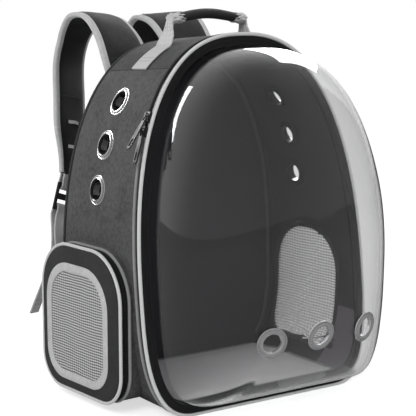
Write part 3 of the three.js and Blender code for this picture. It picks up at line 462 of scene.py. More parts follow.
def net_cloth(name, dark, light, row, column, open_share=0.0):
    """Net with dark rows, from Object coordinates: rows in z and columns in y. Its holes may be open."""
    material, tree, surface = shaded(name, 0.8, 0.1)
    place = tree.nodes.new("ShaderNodeTexCoord")
    part = tree.nodes.new("ShaderNodeSeparateXYZ")
    tree.links.new(place.outputs["Object"], part.inputs[0])
    waver = noise(tree, place.outputs["Object"], 30.0, 1.0)
    height = maths(tree, "MULTIPLY_ADD", waver, 0.0035, part.outputs["Z"])
    rows = maths(tree, "SINE", maths(tree, "MULTIPLY", height, 2 * math.pi / row))
    columns = maths(tree, "SINE", maths(tree, "MULTIPLY", part.outputs["Y"], 2 * math.pi / column))
    holes = maths(tree, "MULTIPLY_ADD", columns, 0.45, rows)
    share = maths(tree, "MULTIPLY_ADD", holes, 0.55, 0.42)
    clamp = tree.nodes.new("ShaderNodeClamp")
    tree.links.new(share, clamp.inputs[0])
    colour = blended(tree, clamp.outputs[0], (*light, 1), (*dark, 1))
    tree.links.new(colour, surface.inputs["Base Color"])
    bumped(tree, surface, maths(tree, "MULTIPLY", share, -1.0), 0.7, 0.0006)
    if open_share:
        solid = maths(tree, "MULTIPLY_ADD", clamp.outputs[0], -open_share, 1.0)
        tree.links.new(solid, surface.inputs["Alpha"])
    return material


def plain_material(name, colour, roughness, metallic=0.0, coat=0.0, grain=0.0):
    material, tree, surface = shaded(name, roughness)
    surface.inputs["Metallic"].default_value = metallic
    surface.inputs["Coat Weight"].default_value = coat
    place = tree.nodes.new("ShaderNodeTexCoord")
    wear = noise(tree, place.outputs["Object"], 320.0, 3.0)
    darker = tuple(0.82 * part for part in colour)
    tree.links.new(blended(tree, wear, (*darker, 1), (*colour, 1)), surface.inputs["Base Color"])
    if grain:
        bumped(tree, surface, noise(tree, place.outputs["Object"], 2200.0, 2.0), grain, 0.0001)
    return material


def clear_plastic():
    """Clear moulded plastic, darker at its lip. Shadow rays pass, so the cabin is lit through it."""
    material, tree, surface = shaded("clear_plastic", 0.03)
    place = tree.nodes.new("ShaderNodeTexCoord")
    part = tree.nodes.new("ShaderNodeSeparateXYZ")
    tree.links.new(place.outputs["Object"], part.inputs[0])
    lip = eased(tree, part.outputs["Z"], *DOME_LIP, 0.0, 1.0)
    tint = blended(tree, lip, (0.40, 0.44, 0.425, 1), (0.945, 0.945, 0.95, 1))
    tree.links.new(tint, surface.inputs["Base Color"])
    surface.inputs["Transmission Weight"].default_value = 1.0
    surface.inputs["IOR"].default_value = 1.47
    passing = tree.nodes.new("ShaderNodeBsdfTransparent")
    path = tree.nodes.new("ShaderNodeLightPath")
    chosen = tree.nodes.new("ShaderNodeMixShader")
    tree.links.new(path.outputs["Is Shadow Ray"], chosen.inputs[0])
    tree.links.new(surface.outputs[0], chosen.inputs[1])
    tree.links.new(passing.outputs[0], chosen.inputs[2])
    tree.links.new(chosen.outputs[0], tree.nodes["Material Output"].inputs["Surface"])
    return material


HEATHER = cloth("heather_cloth", (0.030, 0.030, 0.031), (0.150, 0.150, 0.152), 0.8)
TOP_HEATHER = cloth("top_heather_cloth", (0.024, 0.024, 0.025), (0.105, 0.105, 0.107), 0.8)
LINING = cloth("lining_cloth", (0.012, 0.0112, 0.0138), (0.026, 0.0248, 0.0296), 0.35)
# Painted light: the lining as lit, for the lower right wall in front of the window
LIT_LINING = cloth("lit_lining_cloth", (0.085, 0.078, 0.088), (0.15, 0.138, 0.155), 0.35)
CHARCOAL = cloth("charcoal_cloth", (0.014, 0.014, 0.015), (0.046, 0.046, 0.048), 0.6)
BLACK_TAPE = cloth("black_tape", (0.006, 0.006, 0.007), (0.02, 0.02, 0.022), 0.3, 1100.0)
STRAP_NET = cloth("strap_net", (0.006, 0.006, 0.007), (0.028, 0.028, 0.03), 0.2, 420.0, 0.9)
DARK_PIPING = cloth("dark_piping", (0.03, 0.03, 0.032), (0.08, 0.08, 0.082), 0.3, 1100.0)
GREY_PIPING = cloth("grey_piping", (0.24, 0.24, 0.242), (0.44, 0.44, 0.442), 0.3, 1100.0)
PALE_PIPING = cloth("pale_piping", (0.66, 0.66, 0.66), (0.88, 0.88, 0.88), 0.3, 1100.0)
PALE_BINDING = cloth("pale_binding", (0.46, 0.46, 0.46), (0.86, 0.86, 0.86), 0.5, 900.0)
MAT_CLOTH = cloth("mat_cloth", (0.46, 0.455, 0.46), (0.66, 0.65, 0.66), 0.4, 800.0)
MAT_BINDING = cloth("mat_binding", (0.17, 0.185, 0.178), (0.27, 0.285, 0.275), 0.4, 900.0)
WEBBING = band_cloth("pale_webbing", (0.4, 0.4, 0.4), (0.92, 0.92, 0.92))
THREAD = plain_material("thread", (0.16, 0.16, 0.165), 0.7)
POCKET_NET = net_cloth("pocket_net", (0.045, 0.045, 0.045), (0.72, 0.72, 0.72), 0.0031, 0.0042)
WINDOW_NET = net_cloth("window_net", (0.34, 0.34, 0.34), (0.95, 0.945, 0.95), 0.0036, 0.0052, 0.55)
CHROME = plain_material("chrome", (0.93, 0.93, 0.94), 0.16, 0.72)
# Painted shade: black for the shade in the holes and grooves of the wall eyelets
PAINTED_EYELET_SHADE = plain_material("eyelet_black", (0.012, 0.012, 0.013), 0.22, 0.0, 0.5)
BLACK_PLASTIC = plain_material("black_plastic", (0.012, 0.012, 0.013), 0.5, 0.0, 0.08, 0.25)
ZIPPER_COIL = plain_material("zipper_coil", (0.02, 0.02, 0.022), 0.35)
CLEAR = clear_plastic()


# Walls of the bag

def wall_rings(angles, start, end_from_back, outer, inner, columns=14):
    """Section of a cloth wall at each turn: the outer face, then the inner one backwards."""
    rings = []
    for turn in angles:
        end = depth_at(turn) - end_from_back
        depths = [mix(start, end, column / columns) for column in range(columns + 1)]
        face = [shell_point(turn, depth, outer) for depth in depths]
        rings.append(face + [shell_point(turn, depth, inner) for depth in reversed(depths)])
    return rings


def lined(piece):
    """Gives the faces that look into the cabin the lining, and a paler lilac copy low in front of the window,
    as painted light.
    """
    piece.data.materials.append(LINING)
    piece.data.materials.append(LIT_LINING)
    for polygon in piece.data.polygons:
        middle = polygon.center
        outward = Vector((middle.x, 0, middle.z - WIDEST_HEIGHT))
        if polygon.normal.dot(outward) < -0.2 * outward.length:
            # Painted light: the lit patch low on the right, in front of the window
            in_front = middle.x > LIT_LINING_FROM_X and middle.y < WINDOW_Y - WINDOW_SIZE[0] / 2
            polygon.material_index = 2 if in_front and middle.z < LIT_LINING_TOP else 1


def panel_outline(length, height, low_radius, top_radius, inset=0.0, arc_steps=14):
    """Outline of a panel with round corners, round a centre line and standing on height 0."""
    half = length / 2 - inset
    low, high = low_radius - inset, top_radius - inset
    top = height - inset
    corners = [
        (half - low, inset + low, low, -90), (half - high, top - high, high, 0),
        (high - half, top - high, high, 90), (low - half, inset + low, low, 180),
    ]
    points = []
    for x, z, radius, start in corners:
        for step in range(arc_steps + 1):
            angle = math.radians(start + 90 * step / arc_steps)
            points.append(Vector((x + radius * math.cos(angle), z + radius * math.sin(angle))))
    return points


# Net window of the right side
WINDOW_SIZE = (0.128, 0.155, 0.030, 0.058)
WINDOW_Y = 0.024
WINDOW_BOTTOM = 0.022
WINDOW_BINDING = 0.006


def window_prism(inset):
    points = panel_outline(*WINDOW_SIZE, inset)
    bm = bmesh.new()
    put(bm, [[Vector((x, WINDOW_Y + p.x, WINDOW_BOTTOM + p.y)) for p in points]
             for x in (BASE_FLAT_HALF, 2 * FRONT_HALF_WIDTH)])
    return tool_piece(bm)


def right_slab(name, outer, inner, material, replaced):
    """Slab of the right wall that reaches past the window on every side."""
    rings = wall_rings(turns(-80, 40), GUSSET_START, BINDING_WIDTH + GAP, outer, inner, 30)
    return swept(name, rings, material, replaced)


def ring_place(node):
    """Centre and outward axis of a round CAD node."""
    places = np.array([vert.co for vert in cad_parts[node].data.vertices])
    centre = places.mean(0)
    _, axes = np.linalg.eigh(np.cov((places - centre).T))
    axis = Vector(axes[:, 0])
    hub = Vector((0, 0, DOME_CENTRE)) if "dome" in node else Vector((0, centre[1], WIDEST_HEIGHT))
    if axis.dot(Vector(centre) - hub) < 0:
        axis.negate()
    reach = (places - centre) @ np.array(axis)
    return Vector(centre), axis, float(reach.max())


def turned(bm, profile):
    """Spins a closed profile of (radius, height) round Z."""
    ring = [bm.verts.new((radius, 0, height)) for radius, height in profile]
    edges = [bm.edges.new((ring[side], ring[(side + 1) % len(ring)])) for side in range(len(ring))]
    bmesh.ops.spin(bm, geom=ring + edges, cent=(0, 0, 0), axis=(0, 0, 1), angle=2 * math.pi,
                   steps=RING_SIDES, use_merge=True)


def stand(bm, place, axis):
    """Moves what was made round Z to its place, with Z along the axis."""
    bm.transform(Matrix.Translation(place) @ axis.to_track_quat("Z", "Y").to_matrix().to_4x4())


def arc_points(centre, radius, start, end, count):
    return [(centre[0] + radius * math.cos(math.radians(mix(start, end, step / count))),
             centre[1] + radius * math.sin(math.radians(mix(start, end, step / count))))
            for step in range(count + 1)]


def eyelet(node, barrel_depth, mouth=0.0):
    """Chrome eyelet: rolled crown, a thin groove and an outer rim. Inside the mouth's radius, and in the
    groove when a mouth is given, it is painted black as shade.
    """
    centre, axis, top = ring_place(node)
    roll, rim_roll = 0.0024, 0.0009
    shoulder, groove_floor, underside = -0.0022, -0.0024, -0.0031
    sleeve = HOLE_RADIUS + 0.0012
    crown = arc_points((HOLE_RADIUS + roll, shoulder), roll, 180, 20, 10)
    groove = [(HOLE_RADIUS + 1.9 * roll, groove_floor), (HOLE_RADIUS + 2.05 * roll, groove_floor)]
    rim = arc_points((FLANGE_RADIUS - rim_roll, shoulder), rim_roll, 150, 0, 6)
    under = [(FLANGE_RADIUS, underside), (sleeve, underside)]
    barrel = [(sleeve, -barrel_depth), (HOLE_RADIUS, -barrel_depth)]
    bm = bmesh.new()
    turned(bm, crown + groove + rim + under + barrel)
    stand(bm, centre + axis * top, axis)
    ring = mesh_piece(f"{node}_ring", bm, [CHROME, PAINTED_EYELET_SHADE], [node], smooth=50)
    for polygon in ring.data.polygons:
        from_axis = polygon.center - centre
        radius = (from_axis - axis * from_axis.dot(axis)).length
        in_groove = abs(radius - HOLE_RADIUS - 1.97 * roll) < 0.0002
        # Painted shade: the inner crown and the groove take the black
        polygon.material_index = 1 if radius < mouth or (mouth and in_groove) else 0


def washer(node):
    centre, axis, top = ring_place(node)
    inner, outer, edge = HOLE_RADIUS + 0.0017, FLANGE_RADIUS, 0.0007
    outside = arc_points((outer - edge, -edge), edge, -90, 90, 6)
    inside = arc_points((inner + edge, -edge), edge, 90, 270, 6)
    bm = bmesh.new()
    turned(bm, outside + inside)
    stand(bm, centre + axis * top, axis)
    mesh_piece(f"{node}_ring", bm, BLACK_PLASTIC, [node], smooth=50)


def eyelet_cutter(node):
    centre, axis, _ = ring_place(node)
    bm = bmesh.new()
    bmesh.ops.create_cone(bm, cap_ends=True, segments=40, radius1=CUT_RADIUS, radius2=CUT_RADIUS, depth=0.03)
    stand(bm, centre, axis)
    return tool_piece(bm)


def build_walls():
    eyelets = [f"eyelet_{side}_{number}" for side in ("left", "right") for number in (1, 2, 3)]
    around = turns(SEAM_LEFT + 0.1, 270) + turns(-90, SEAM_RIGHT - 0.1)
    rings = wall_rings(around, GUSSET_START, BINDING_WIDTH + GAP, 0, -WALL)
    lower = swept("lower_wall", rings, HEATHER, ["lower_gusset"])
    tools = [eyelet_cutter(node) for node in eyelets] + [window_prism(-GAP)]
    trimmed(lower, [(tool, "DIFFERENCE") for tool in tools])
    lined(lower)
    over = turns(SEAM_RIGHT + 0.1, SEAM_LEFT - 0.1)
    rings = wall_rings(over, GUSSET_START, BINDING_WIDTH + GAP, 0, -WALL)
    lined(swept("top_wall", rings, TOP_HEATHER, ["top_gusset"]))
    for node in eyelets:
        eyelet(node, EYELET_BARREL, SHADED_MOUTH)
        washer(node.replace("eyelet_", "eyelet_washer_"))


def build_window():
    net = right_slab("side_net", -0.0011, -0.0019, WINDOW_NET, ["side_window_mesh"])
    trimmed(net, [(window_prism(WINDOW_BINDING - 0.001), "INTERSECT")])
    binding = right_slab("side_net_binding", 2 * GAP, -WALL - 2 * GAP, CHARCOAL,
                         ["side_window_binding"])
    trimmed(binding, [(window_prism(0), "INTERSECT"), (window_prism(WINDOW_BINDING), "DIFFERENCE")])


# Rings that run round the arch

PIPING_SIDES = 10


def round_section(turn, at, radius):
    angles = [2 * math.pi * side / PIPING_SIDES for side in range(PIPING_SIDES)]
    return [shell_point(turn, at + radius * math.cos(angle), -PIPING_SINK + radius * math.sin(angle))
            for angle in angles]


def piping(name, at, radius, material, replaced):
    rings = [round_section(turn, at, radius) for turn in ALL_ROUND]
    return swept(name, rings, material, replaced, closed=True, smooth=80)


def arch_band(name, corners, material, replaced, smooth=35, point_at=shell_point):
    """Band round the arch. A corner is (distance from the front or the back edge, out)."""
    rings = [[point_at(turn, depth, out) for depth, out in corners] for turn in ALL_ROUND]
    swept(name, rings, material, replaced, closed=True, smooth=smooth)


def along_arch(from_front, out, pitch):
    """Places and turns at an even pitch along the arch above the base."""
    fine = turns(-90, 270, 0.25)
    points = [shell_point(turn, from_front, out) for turn in fine]
    placed, left = [], 0.0
    for before, after in zip(range(len(points)), range(1, len(points))):
        left -= (points[after] - points[before]).length
        if left <= 0:
            placed.append((fine[after], points[after], (points[after] - points[before]).normalized()))
            left = pitch
    return placed


def oriented(along, up):
    """Turns Y along the first direction and Z close to up."""
    across = along.cross(up).normalized()
    return Matrix((across, along, across.cross(along))).transposed().to_4x4()


def front_zipper():
    """Tape with a hollow middle, and its two staggered rows of teeth."""
    bottom, edge_out, middle_out = -0.003, -0.0016, -0.0018
    arch_band("front_tape", [
        (ZIPPER_START, bottom), (ZIPPER_END, bottom), (ZIPPER_END, edge_out),
        (mix(ZIPPER_START, ZIPPER_END, 0.66), middle_out), (mix(ZIPPER_START, ZIPPER_END, 0.34), middle_out),
        (ZIPPER_START, edge_out),
    ], BLACK_TAPE, ["zipper_tape"])
    bm = bmesh.new()
    middle = (ZIPPER_START + ZIPPER_END) / 2
    teeth_out, pitch, stagger = -0.0014, 0.0015, 0.0004
    tooth = Matrix.Diagonal((0.0024, 0.0009, 0.0011, 1))
    for index, (turn, point, along) in enumerate(along_arch(middle, teeth_out, pitch)):
        normal = arch_normal(turn)
        place = oriented(along, Vector((normal.x, 0, normal.y)))
        shift = Matrix.Translation(point + Vector((0, stagger if index % 2 else -stagger, 0)))
        bmesh.ops.create_cube(bm, size=1, matrix=shift @ place @ tooth)
    mesh_piece("front_zipper_teeth", bm, ZIPPER_COIL, turn_out=False)


def build_front_frame():
    outer = piping("outer_trim", OUTER_PIPING_AT, PIPING, [GREY_PIPING, CHARCOAL],
                   ["outer_piping"])
    for polygon in outer.data.polygons:
        polygon.material_index = 1 if polygon.center.z > DARK_PIPING_FROM else 0
    piping("door_trim", 0, DOOR_PIPING, PALE_PIPING, ["door_piping"])
    front_zipper()
    arch_band("door_border", [
        (-0.0012, -BAND_OUTER), (0.0012, -BAND_OUTER), (BAND_HALF, -BAND_OUTER - 0.001),
        (BAND_HALF, -BAND_INNER), (-0.0012, -BAND_INNER), (-BAND_HALF - 0.0004, -BAND_INNER + 0.0009),
        (-BAND_HALF, -BAND_INNER + 0.0018), (-BAND_HALF, -0.0082), (-BAND_HALF - 0.0007, -0.0078),
        (-BAND_HALF - 0.0007, -0.0068), (-BAND_HALF, -0.0064), (-BAND_HALF, -BAND_OUTER - 0.001),
    ], BLACK_TAPE, ["door_band"])
    arch_band("back_edge", [
        (BINDING_WIDTH, -WALL - GAP), (0.0008, -WALL - GAP), (-0.0002, -WALL + 0.0008),
        (-0.0002, -0.001), (0.0010, 0.0003), (BINDING_WIDTH - 0.0008, 0.0004), (BINDING_WIDTH, -0.0003),
    ], BLACK_TAPE, ["back_binding"], 50, back_point)


# Bubble

def dome_point(turn, rise, inset, start, bulge):
    """Point of the bubble: turn runs round its rim, and rise from the rim to a quarter turn at the tip."""
    rim = shell_point(turn, start, -inset)
    share = smoothstep(rim.z, 0, DOME_CENTRE)
    exponent = mix(*DOME_EXPONENTS, share)
    roundness = mix(*DOME_ROUNDNESS, share)
    forward = math.sin(rise) ** (2 / exponent)
    upright = max(math.cos(rise), 0.0) ** (2 / exponent)
    narrow = max(1 - forward ** roundness, 0.0) ** (1 / roundness)
    z = mix(DOME_CENTRE, rim.z, upright)
    return Vector((rim.x * narrow, front_y(z) + start - (bulge + start) * forward, z))


def dome_rings(inset, start, bulge):
    """Rings from the rim to the tip, closer together towards the tip."""
    rings = []
    for ring in range(DOME_RINGS):
        rise = math.radians(90 * (1 - (1 - ring / DOME_RINGS) ** 1.4))
        rings.append([dome_point(turn, rise, inset, start, bulge) for turn in ALL_ROUND])
    return rings


def build_dome():
    start = BAND_HALF + GAP
    outer = dome_rings(DOME_INSET, start, DOME_BULGE)
    inner = dome_rings(DOME_INSET + DOME_THICKNESS, start + DOME_THICKNESS, DOME_BULGE - DOME_THICKNESS)
    flange = [[shell_point(turn, depth, DOME_FLANGE - DOME_INSET) for turn in ALL_ROUND]
              for depth in (start, start + DOME_THICKNESS)]
    bubble = swept("bubble", outer[::-1] + flange + inner, CLEAR, ["dome"], smooth=75)
    grommets = [f"dome_grommet_{number}" for number in (1, 2, 3)]
    trimmed(bubble, [(eyelet_cutter(node), "DIFFERENCE") for node in grommets])
    for node in grommets:
        eyelet(node, GROMMET_BARREL)


# Back panel and mat

def build_back():
    """Padded back: a crowned pad whose rows of points shrink from the wall to its middle."""
    middle = Vector((0, 0.2))
    # Rows of (distance from the back edge, share of the way to the middle), of the cabin's side and outside
    face = [(0.0085, 0.0), (0.0102, 0.02), (0.0105, 0.09), (0.0100, 0.10), (0.0106, 0.11),
            (0.0112, 0.35), (0.0112, 0.65), (0.0112, 0.9)]
    outer = [(0.0, 0.9), (0.0, 0.5), (0.0, 0.2), (0.0006, 0.1), (0.0016, 0.085), (0.0006, 0.07),
             (0.0004, 0.02), (0.0015, 0.0)]
    rings = []
    for depth, share in face[::-1] + outer[::-1]:
        ring = []
        for turn in ALL_ROUND:
            edge = back_point(turn, depth, -WALL - 2 * GAP)
            ring.append(Vector((mix(edge.x, middle.x, share), edge.y, mix(edge.z, middle.y, share))))
        rings.append(ring)
    panel = swept("back_pad", rings, LINING, ["back_panel"], smooth=50)
    back_seam()


def back_seam():
    """Piping inside the cabin, along the edge of the padded back above the base."""
    seam_depth, seam_inset, seam_radius = 0.0122, 0.0165, 0.0021
    rings = []
    for turn in turns(-60, 240):
        normal = arch_normal(turn)
        centre = back_point(turn, seam_depth, -seam_inset)
        ring = []
        for side in range(8):
            angle = 2 * math.pi * side / 8
            wide, deep = math.cos(angle), math.sin(angle)
            ring.append(centre + Vector((normal.x * seam_radius * wide, seam_radius * deep,
                                         normal.y * seam_radius * wide)))
        rings.append(ring)
    swept("back_pad_piping", rings, DARK_PIPING, smooth=80)


def build_mat():
    """Mat of the cabin: a cushion with a bound edge. A row is (height, inset)."""
    low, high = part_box("floor_mat")
    length, depth = high.x - low.x, high.y - low.y
    corner, slack, binding = 0.016, 0.0004, 0.0075
    rows = [(low.z, 0.003), (low.z + 0.002, 0.0006), (high.z - 0.0022, 0.0004), (high.z - 0.0006, 0.0014),
            (high.z - 0.0003, 0.006), (high.z - 0.0008, 0.0075), (high.z - 0.0001, 0.009),
            (high.z, 0.03), (high.z, 0.05)]
    rings = []
    for z, inset in rows:
        radius = max(corner, inset + 0.001)
        outline = panel_outline(length - 2 * slack, depth - 2 * slack, radius, radius, inset)
        rings.append([Vector((p.x, low.y + slack + p.y, z)) for p in outline])
    mat = swept("cabin_mat", rings, [MAT_CLOTH, MAT_BINDING], ["floor_mat"], smooth=50)
    for polygon in mat.data.polygons:
        spot = polygon.center
        edge = min(spot.x - low.x, high.x - spot.x, spot.y - low.y, high.y - spot.y)
        polygon.material_index = 1 if edge < binding else 0


# Left pocket: local x runs to the front, y up and z away from the wall
POCKET_PLACE = Vector((-0.183, 0.0135, 0.010))
POCKET_TURN = math.radians(3.5)
POCKET_SIZE = (0.163, 0.172, 0.038, 0.056)
POCKET_WINDOW = (0.128, 0.138, 0.034, 0.046)
POCKET_WINDOW_SHIFT = Vector((-0.006, 0.012))
POCKET_BINDING = 0.010
POCKET_ACROSS = Vector((math.sin(POCKET_TURN), -math.cos(POCKET_TURN), 0))
POCKET_OUT = Vector((-math.cos(POCKET_TURN), -math.sin(POCKET_TURN), 0))
POCKET_WALL = 0.0022
POCKET_PIPING_AT = -0.002
POCKET_ZIPPER = (-0.0119, -0.0043)
POCKET_STRIP_AT = -0.0142
POCKET_GUSSET_TOP = -0.0165
POCKET_INSIDE_BAG = -0.08


def pocket_place(flat, out):
    return POCKET_PLACE + POCKET_ACROSS * flat.x + Vector((0, 0, flat.y)) + POCKET_OUT * out


def pocket_ring(inset, out, shape=POCKET_SIZE, shift=Vector((0, 0))):
    return [pocket_place(point + shift, out) for point in panel_outline(*shape, inset, 12)]


def window_ring(inset, out):
    return pocket_ring(inset, out, POCKET_WINDOW, POCKET_WINDOW_SHIFT)


def pocket_band(name, corners, material, replaced, smooth=40, ring_at=pocket_ring):
    """Band round the pocket or its window. A corner is (inset from the outline, out)."""
    rows = [ring_at(inset, out) for inset, out in corners]
    return swept(name, crosswise(rows), material, replaced, closed=True, smooth=smooth)


def round_corners(inset, out, radius):
    angles = [2 * math.pi * side / PIPING_SIDES for side in range(PIPING_SIDES)]
    return [(inset - radius * math.cos(angle), out + radius * math.sin(angle)) for angle in angles]


def pocket_wall():
    """Cloth wall of the pocket. It starts inside the bag, and the bag's own form is cut off it."""
    gusset = pocket_band("pocket_wall", [
        (0, POCKET_INSIDE_BAG), (0, POCKET_GUSSET_TOP), (POCKET_WALL, POCKET_GUSSET_TOP),
        (POCKET_WALL, POCKET_INSIDE_BAG),
    ], HEATHER, ["pocket_gusset"])
    bm = bmesh.new()
    put(bm, [[shell_point(turn, depth, GAP) for turn in ALL_ROUND] for depth in (-0.02, 0.1, 0.21)])
    trimmed(gusset, [(tool_piece(bm), "DIFFERENCE")])


def pocket_zipper():
    low, high = POCKET_ZIPPER
    third = (high - low) / 3
    pocket_band("pocket_tape", [
        (0.001, low), (0.0014, low + third), (0.0014, high - third), (0.001, high),
        (0.003, high), (0.003, low),
    ], BLACK_TAPE, ["pocket_zipper"])
    bm = bmesh.new()
    outline = pocket_ring(0.001, (low + high) / 2)
    tooth = Matrix.Diagonal((0.0026, 0.0010, 0.0011, 1))
    pitch, left = 0.0017, 0.0
    for before, after in zip(outline, outline[1:] + outline[:1]):
        length = (after - before).length
        along = (after - before) / length if length > 1e-6 else Vector((0, 0, 1))
        while left < length:
            place = Matrix.Translation(before + along * left) @ oriented(along, along.cross(POCKET_OUT))
            bmesh.ops.create_cube(bm, size=1, matrix=place @ tooth)
            left += pitch
        left -= length
    mesh_piece("pocket_zipper_teeth", bm, ZIPPER_COIL, turn_out=False)


def pocket_face():
    """Front of the pocket, with the bound window and its net."""
    inset = PIPING_SINK + PIPING + GAP
    rows = [pocket_ring(inset, -POCKET_WALL), pocket_ring(inset, -0.0004), pocket_ring(inset + 0.003, 0.0)]
    rows += [window_ring(-GAP, out) for out in (0.0, -POCKET_WALL)]
    swept("pocket_front", crosswise(rows), CHARCOAL, ["pocket_face"], closed=True)
    width, back = POCKET_BINDING, -POCKET_WALL - GAP
    pocket_band("pocket_net_binding", [
        (0.0, back), (0.0, 0.0002), (0.0012, 0.0007), (width / 2, 0.0008), (width - 0.0012, 0.0007),
        (width, 0.0002), (width, back),
    ], PALE_BINDING, ["pocket_window_binding"], ring_at=window_ring)
    rings = [window_ring(width + GAP, -0.0019)]
    rings += [window_ring(width + inset, -0.0008) for inset in (GAP, 0.008, 0.018)]
    swept("pocket_net", rings, POCKET_NET, ["pocket_window_mesh"], smooth=60)


def build_pocket():
    pocket_wall()
    pocket_band("pocket_lower_trim", round_corners(PIPING_SINK, POCKET_STRIP_AT, PIPING), GREY_PIPING,
                ["pocket_strip"], 80)
    pocket_band("pocket_trim", round_corners(PIPING_SINK, POCKET_PIPING_AT, PIPING), PALE_PIPING,
                ["pocket_piping"], 80)
    pocket_zipper()
    pocket_face()


# Bands that follow a line

def smooth_line(controls, count):
    """Centripetal curve through the controls, at count + 1 even shares."""
    points = [2 * controls[0] - controls[1], *controls, 2 * controls[-1] - controls[-2]]
    line = []
    for index in range(count + 1):
        place = (len(controls) - 1) * index / count
        part = min(int(place), len(controls) - 2)
        p = points[part:part + 4]
        t = [0.0]
        for before, after in zip(p, p[1:]):
            t.append(t[-1] + max((after - before).length, 1e-9) ** 0.5)
        at = mix(t[1], t[2], place - part)
        a = [p[i] * ((t[i + 1] - at) / (t[i + 1] - t[i])) + p[i + 1] * ((at - t[i]) / (t[i + 1] - t[i]))
             for i in range(3)]
        b = [a[i] * ((t[i + 2] - at) / (t[i + 2] - t[i])) + a[i + 1] * ((at - t[i]) / (t[i + 2] - t[i]))
             for i in range(2)]
        line.append(b[0] * ((t[2] - at) / (t[2] - t[1])) + b[1] * ((at - t[1]) / (t[2] - t[1])))
    return line


def stations(points, width_at):
    """Point, width, way along and face of a band at each of the points."""
    found = []
    last = len(points) - 1
    for index, point in enumerate(points):
        along = (points[min(index + 1, last)] - points[max(index - 1, 0)]).normalized()
        wide = width_at(index / last)
        width = (wide - along * wide.dot(along)).normalized()
        found.append((point, width, along, width.cross(along)))
    return found


def band(name, line, section_at, material, replaced=(), smooth=40):
    """Sweeps a section of (across, thick) along the stations and stores its own lengths."""
    bm = bmesh.new()
    rings = [[point + width * across + face * thick for across, thick in section_at(index / (len(line) - 1))]
             for index, (point, width, _, face) in enumerate(line)]
    put(bm, rings)
    along_layer = bm.verts.layers.float.new("along")
    across_layer = bm.verts.layers.float.new("across")
    bm.verts.ensure_lookup_table()
    count = len(rings[0])
    travelled = 0.0
    for index, (point, _, _, _) in enumerate(line):
        travelled += (point - line[index - 1][0]).length if index else 0.0
        section = section_at(index / (len(line) - 1))
        for side in range(count):
            vert = bm.verts[index * count + side]
            vert[along_layer] = travelled
            vert[across_layer] = section[side][0]
    return mesh_piece(name, bm, material, replaced, smooth=smooth)


def soft_section(width, thickness, columns=6):
    """Flat band with rounded edges."""
    half, t = width / 2, thickness / 2
    edge = 0.35 * t
    upper = [(half, edge), (half - 0.5 * t, t)]
    upper += [(mix(half - t, t - half, column / columns), t) for column in range(columns + 1)]
    upper += [(0.5 * t - half, t), (-half, edge)]
    return upper + [(-across, -thick) for across, thick in upper]


def flat_webbing(share):
    return soft_section(WEBBING_WIDTH, WEBBING_THICKNESS)


def stitch_row(bm, points, normals, length=0.0026, spacing=0.0038):
    """Small rounded stitches along a line of points."""
    radius = 0.00028
    shape = Matrix.Diagonal((radius, length / 2, radius, 1))
    left = spacing / 2
    for before, after, normal in zip(points, points[1:], normals):
        step = (after - before).length
        if step < 1e-7:
            continue
        along = (after - before) / step
        while left < step:
            spot = before + along * left + normal * 0.3 * radius
            place = Matrix.Translation(spot) @ oriented(along, normal)
            bmesh.ops.create_icosphere(bm, subdivisions=1, radius=1, matrix=place @ shape)
            left += spacing
        left -= step


def stitches_across(bm, station, normal, half, lift, steps, *sizes):
    """Row of stitches across a band, lifted off it along the normal."""
    point, width = station[:2]
    points = [point + width * mix(-half, half, step / steps) + normal * lift for step in range(steps + 1)]
    stitch_row(bm, points, [normal] * (steps + 1), *sizes)


# Top handle

def wall_turn(side, x):
    """Turn where the wall at the handle's depth lies x from the middle."""
    turn = solve(0, 90, lambda degrees: back_point(degrees, HANDLE_FROM_BACK).x, x)
    return turn if side > 0 else 180 - turn


def handle_wall(side, x, out):
    return back_point(wall_turn(side, x), HANDLE_FROM_BACK, out)


def grip_section(share):
    """Round section, thinner at the ends, with a shallow seam on one side."""
    swell = 0.8 + 0.2 * math.sin(math.pi * share) ** 0.5
    swell *= 1 - 0.12 * smoothstep(abs(share - 0.5), 0.47, 0.5)
    ring = []
    for side in range(28):
        angle = 2 * math.pi * side / 28
        seam = 1 - 0.05 * math.exp(-((angle - 1.5 * math.pi) / 0.12) ** 2)
        ring.append((swell * seam * GRIP_WIDTH / 2 * math.cos(angle),
                     swell * seam * GRIP_THICKNESS / 2 * math.sin(angle)))
    return ring


def handle_section(share):
    """Section of the handle's webbing, gathered into folds towards the grip."""
    gathered = smoothstep(share, 0.45, 0.8)
    width = mix(0.032, GRIP_WIDTH * 0.8, gathered)
    fold = 0.0011 * gathered
    return [(across, thick + fold * math.sin(across / width * 7 * math.pi + 3 * share))
            for across, thick in soft_section(width, WEBBING_THICKNESS, 12)]


def handle_band(name, side, end):
    """Webbing from the cross seam along the wall and up to the grip. Returns its stations."""
    lift_off, lift = 0.061, WEBBING_THICKNESS / 2 + 0.0007
    bend = handle_wall(side, lift_off, lift)
    rising = [Vector((side * (GRIP_HALF + beyond), HANDLE_Y, mix(bend.z, end, share)))
              for beyond, share in ((0.006, 0.45), (0.0035, 0.85), (WEBBING_THICKNESS, 1))]
    seam = [handle_wall(side, mix(SEAM_HALF_WIDTH - GAP, lift_off, step / 16), lift)
            for step in range(16)]
    turn = wall_turn(side, (SEAM_HALF_WIDTH + lift_off) / 2)
    from_front = depth_at(turn) - HANDLE_FROM_BACK
    downhill = shell_point(turn, from_front + 0.001) - shell_point(turn, from_front)
    line = stations(seam + smooth_line([bend, *rising], 22), lambda share: downhill)
    band(f"handle_band_{name}", line, handle_section, WEBBING, [f"handle_webbing_{name}"])
    return line


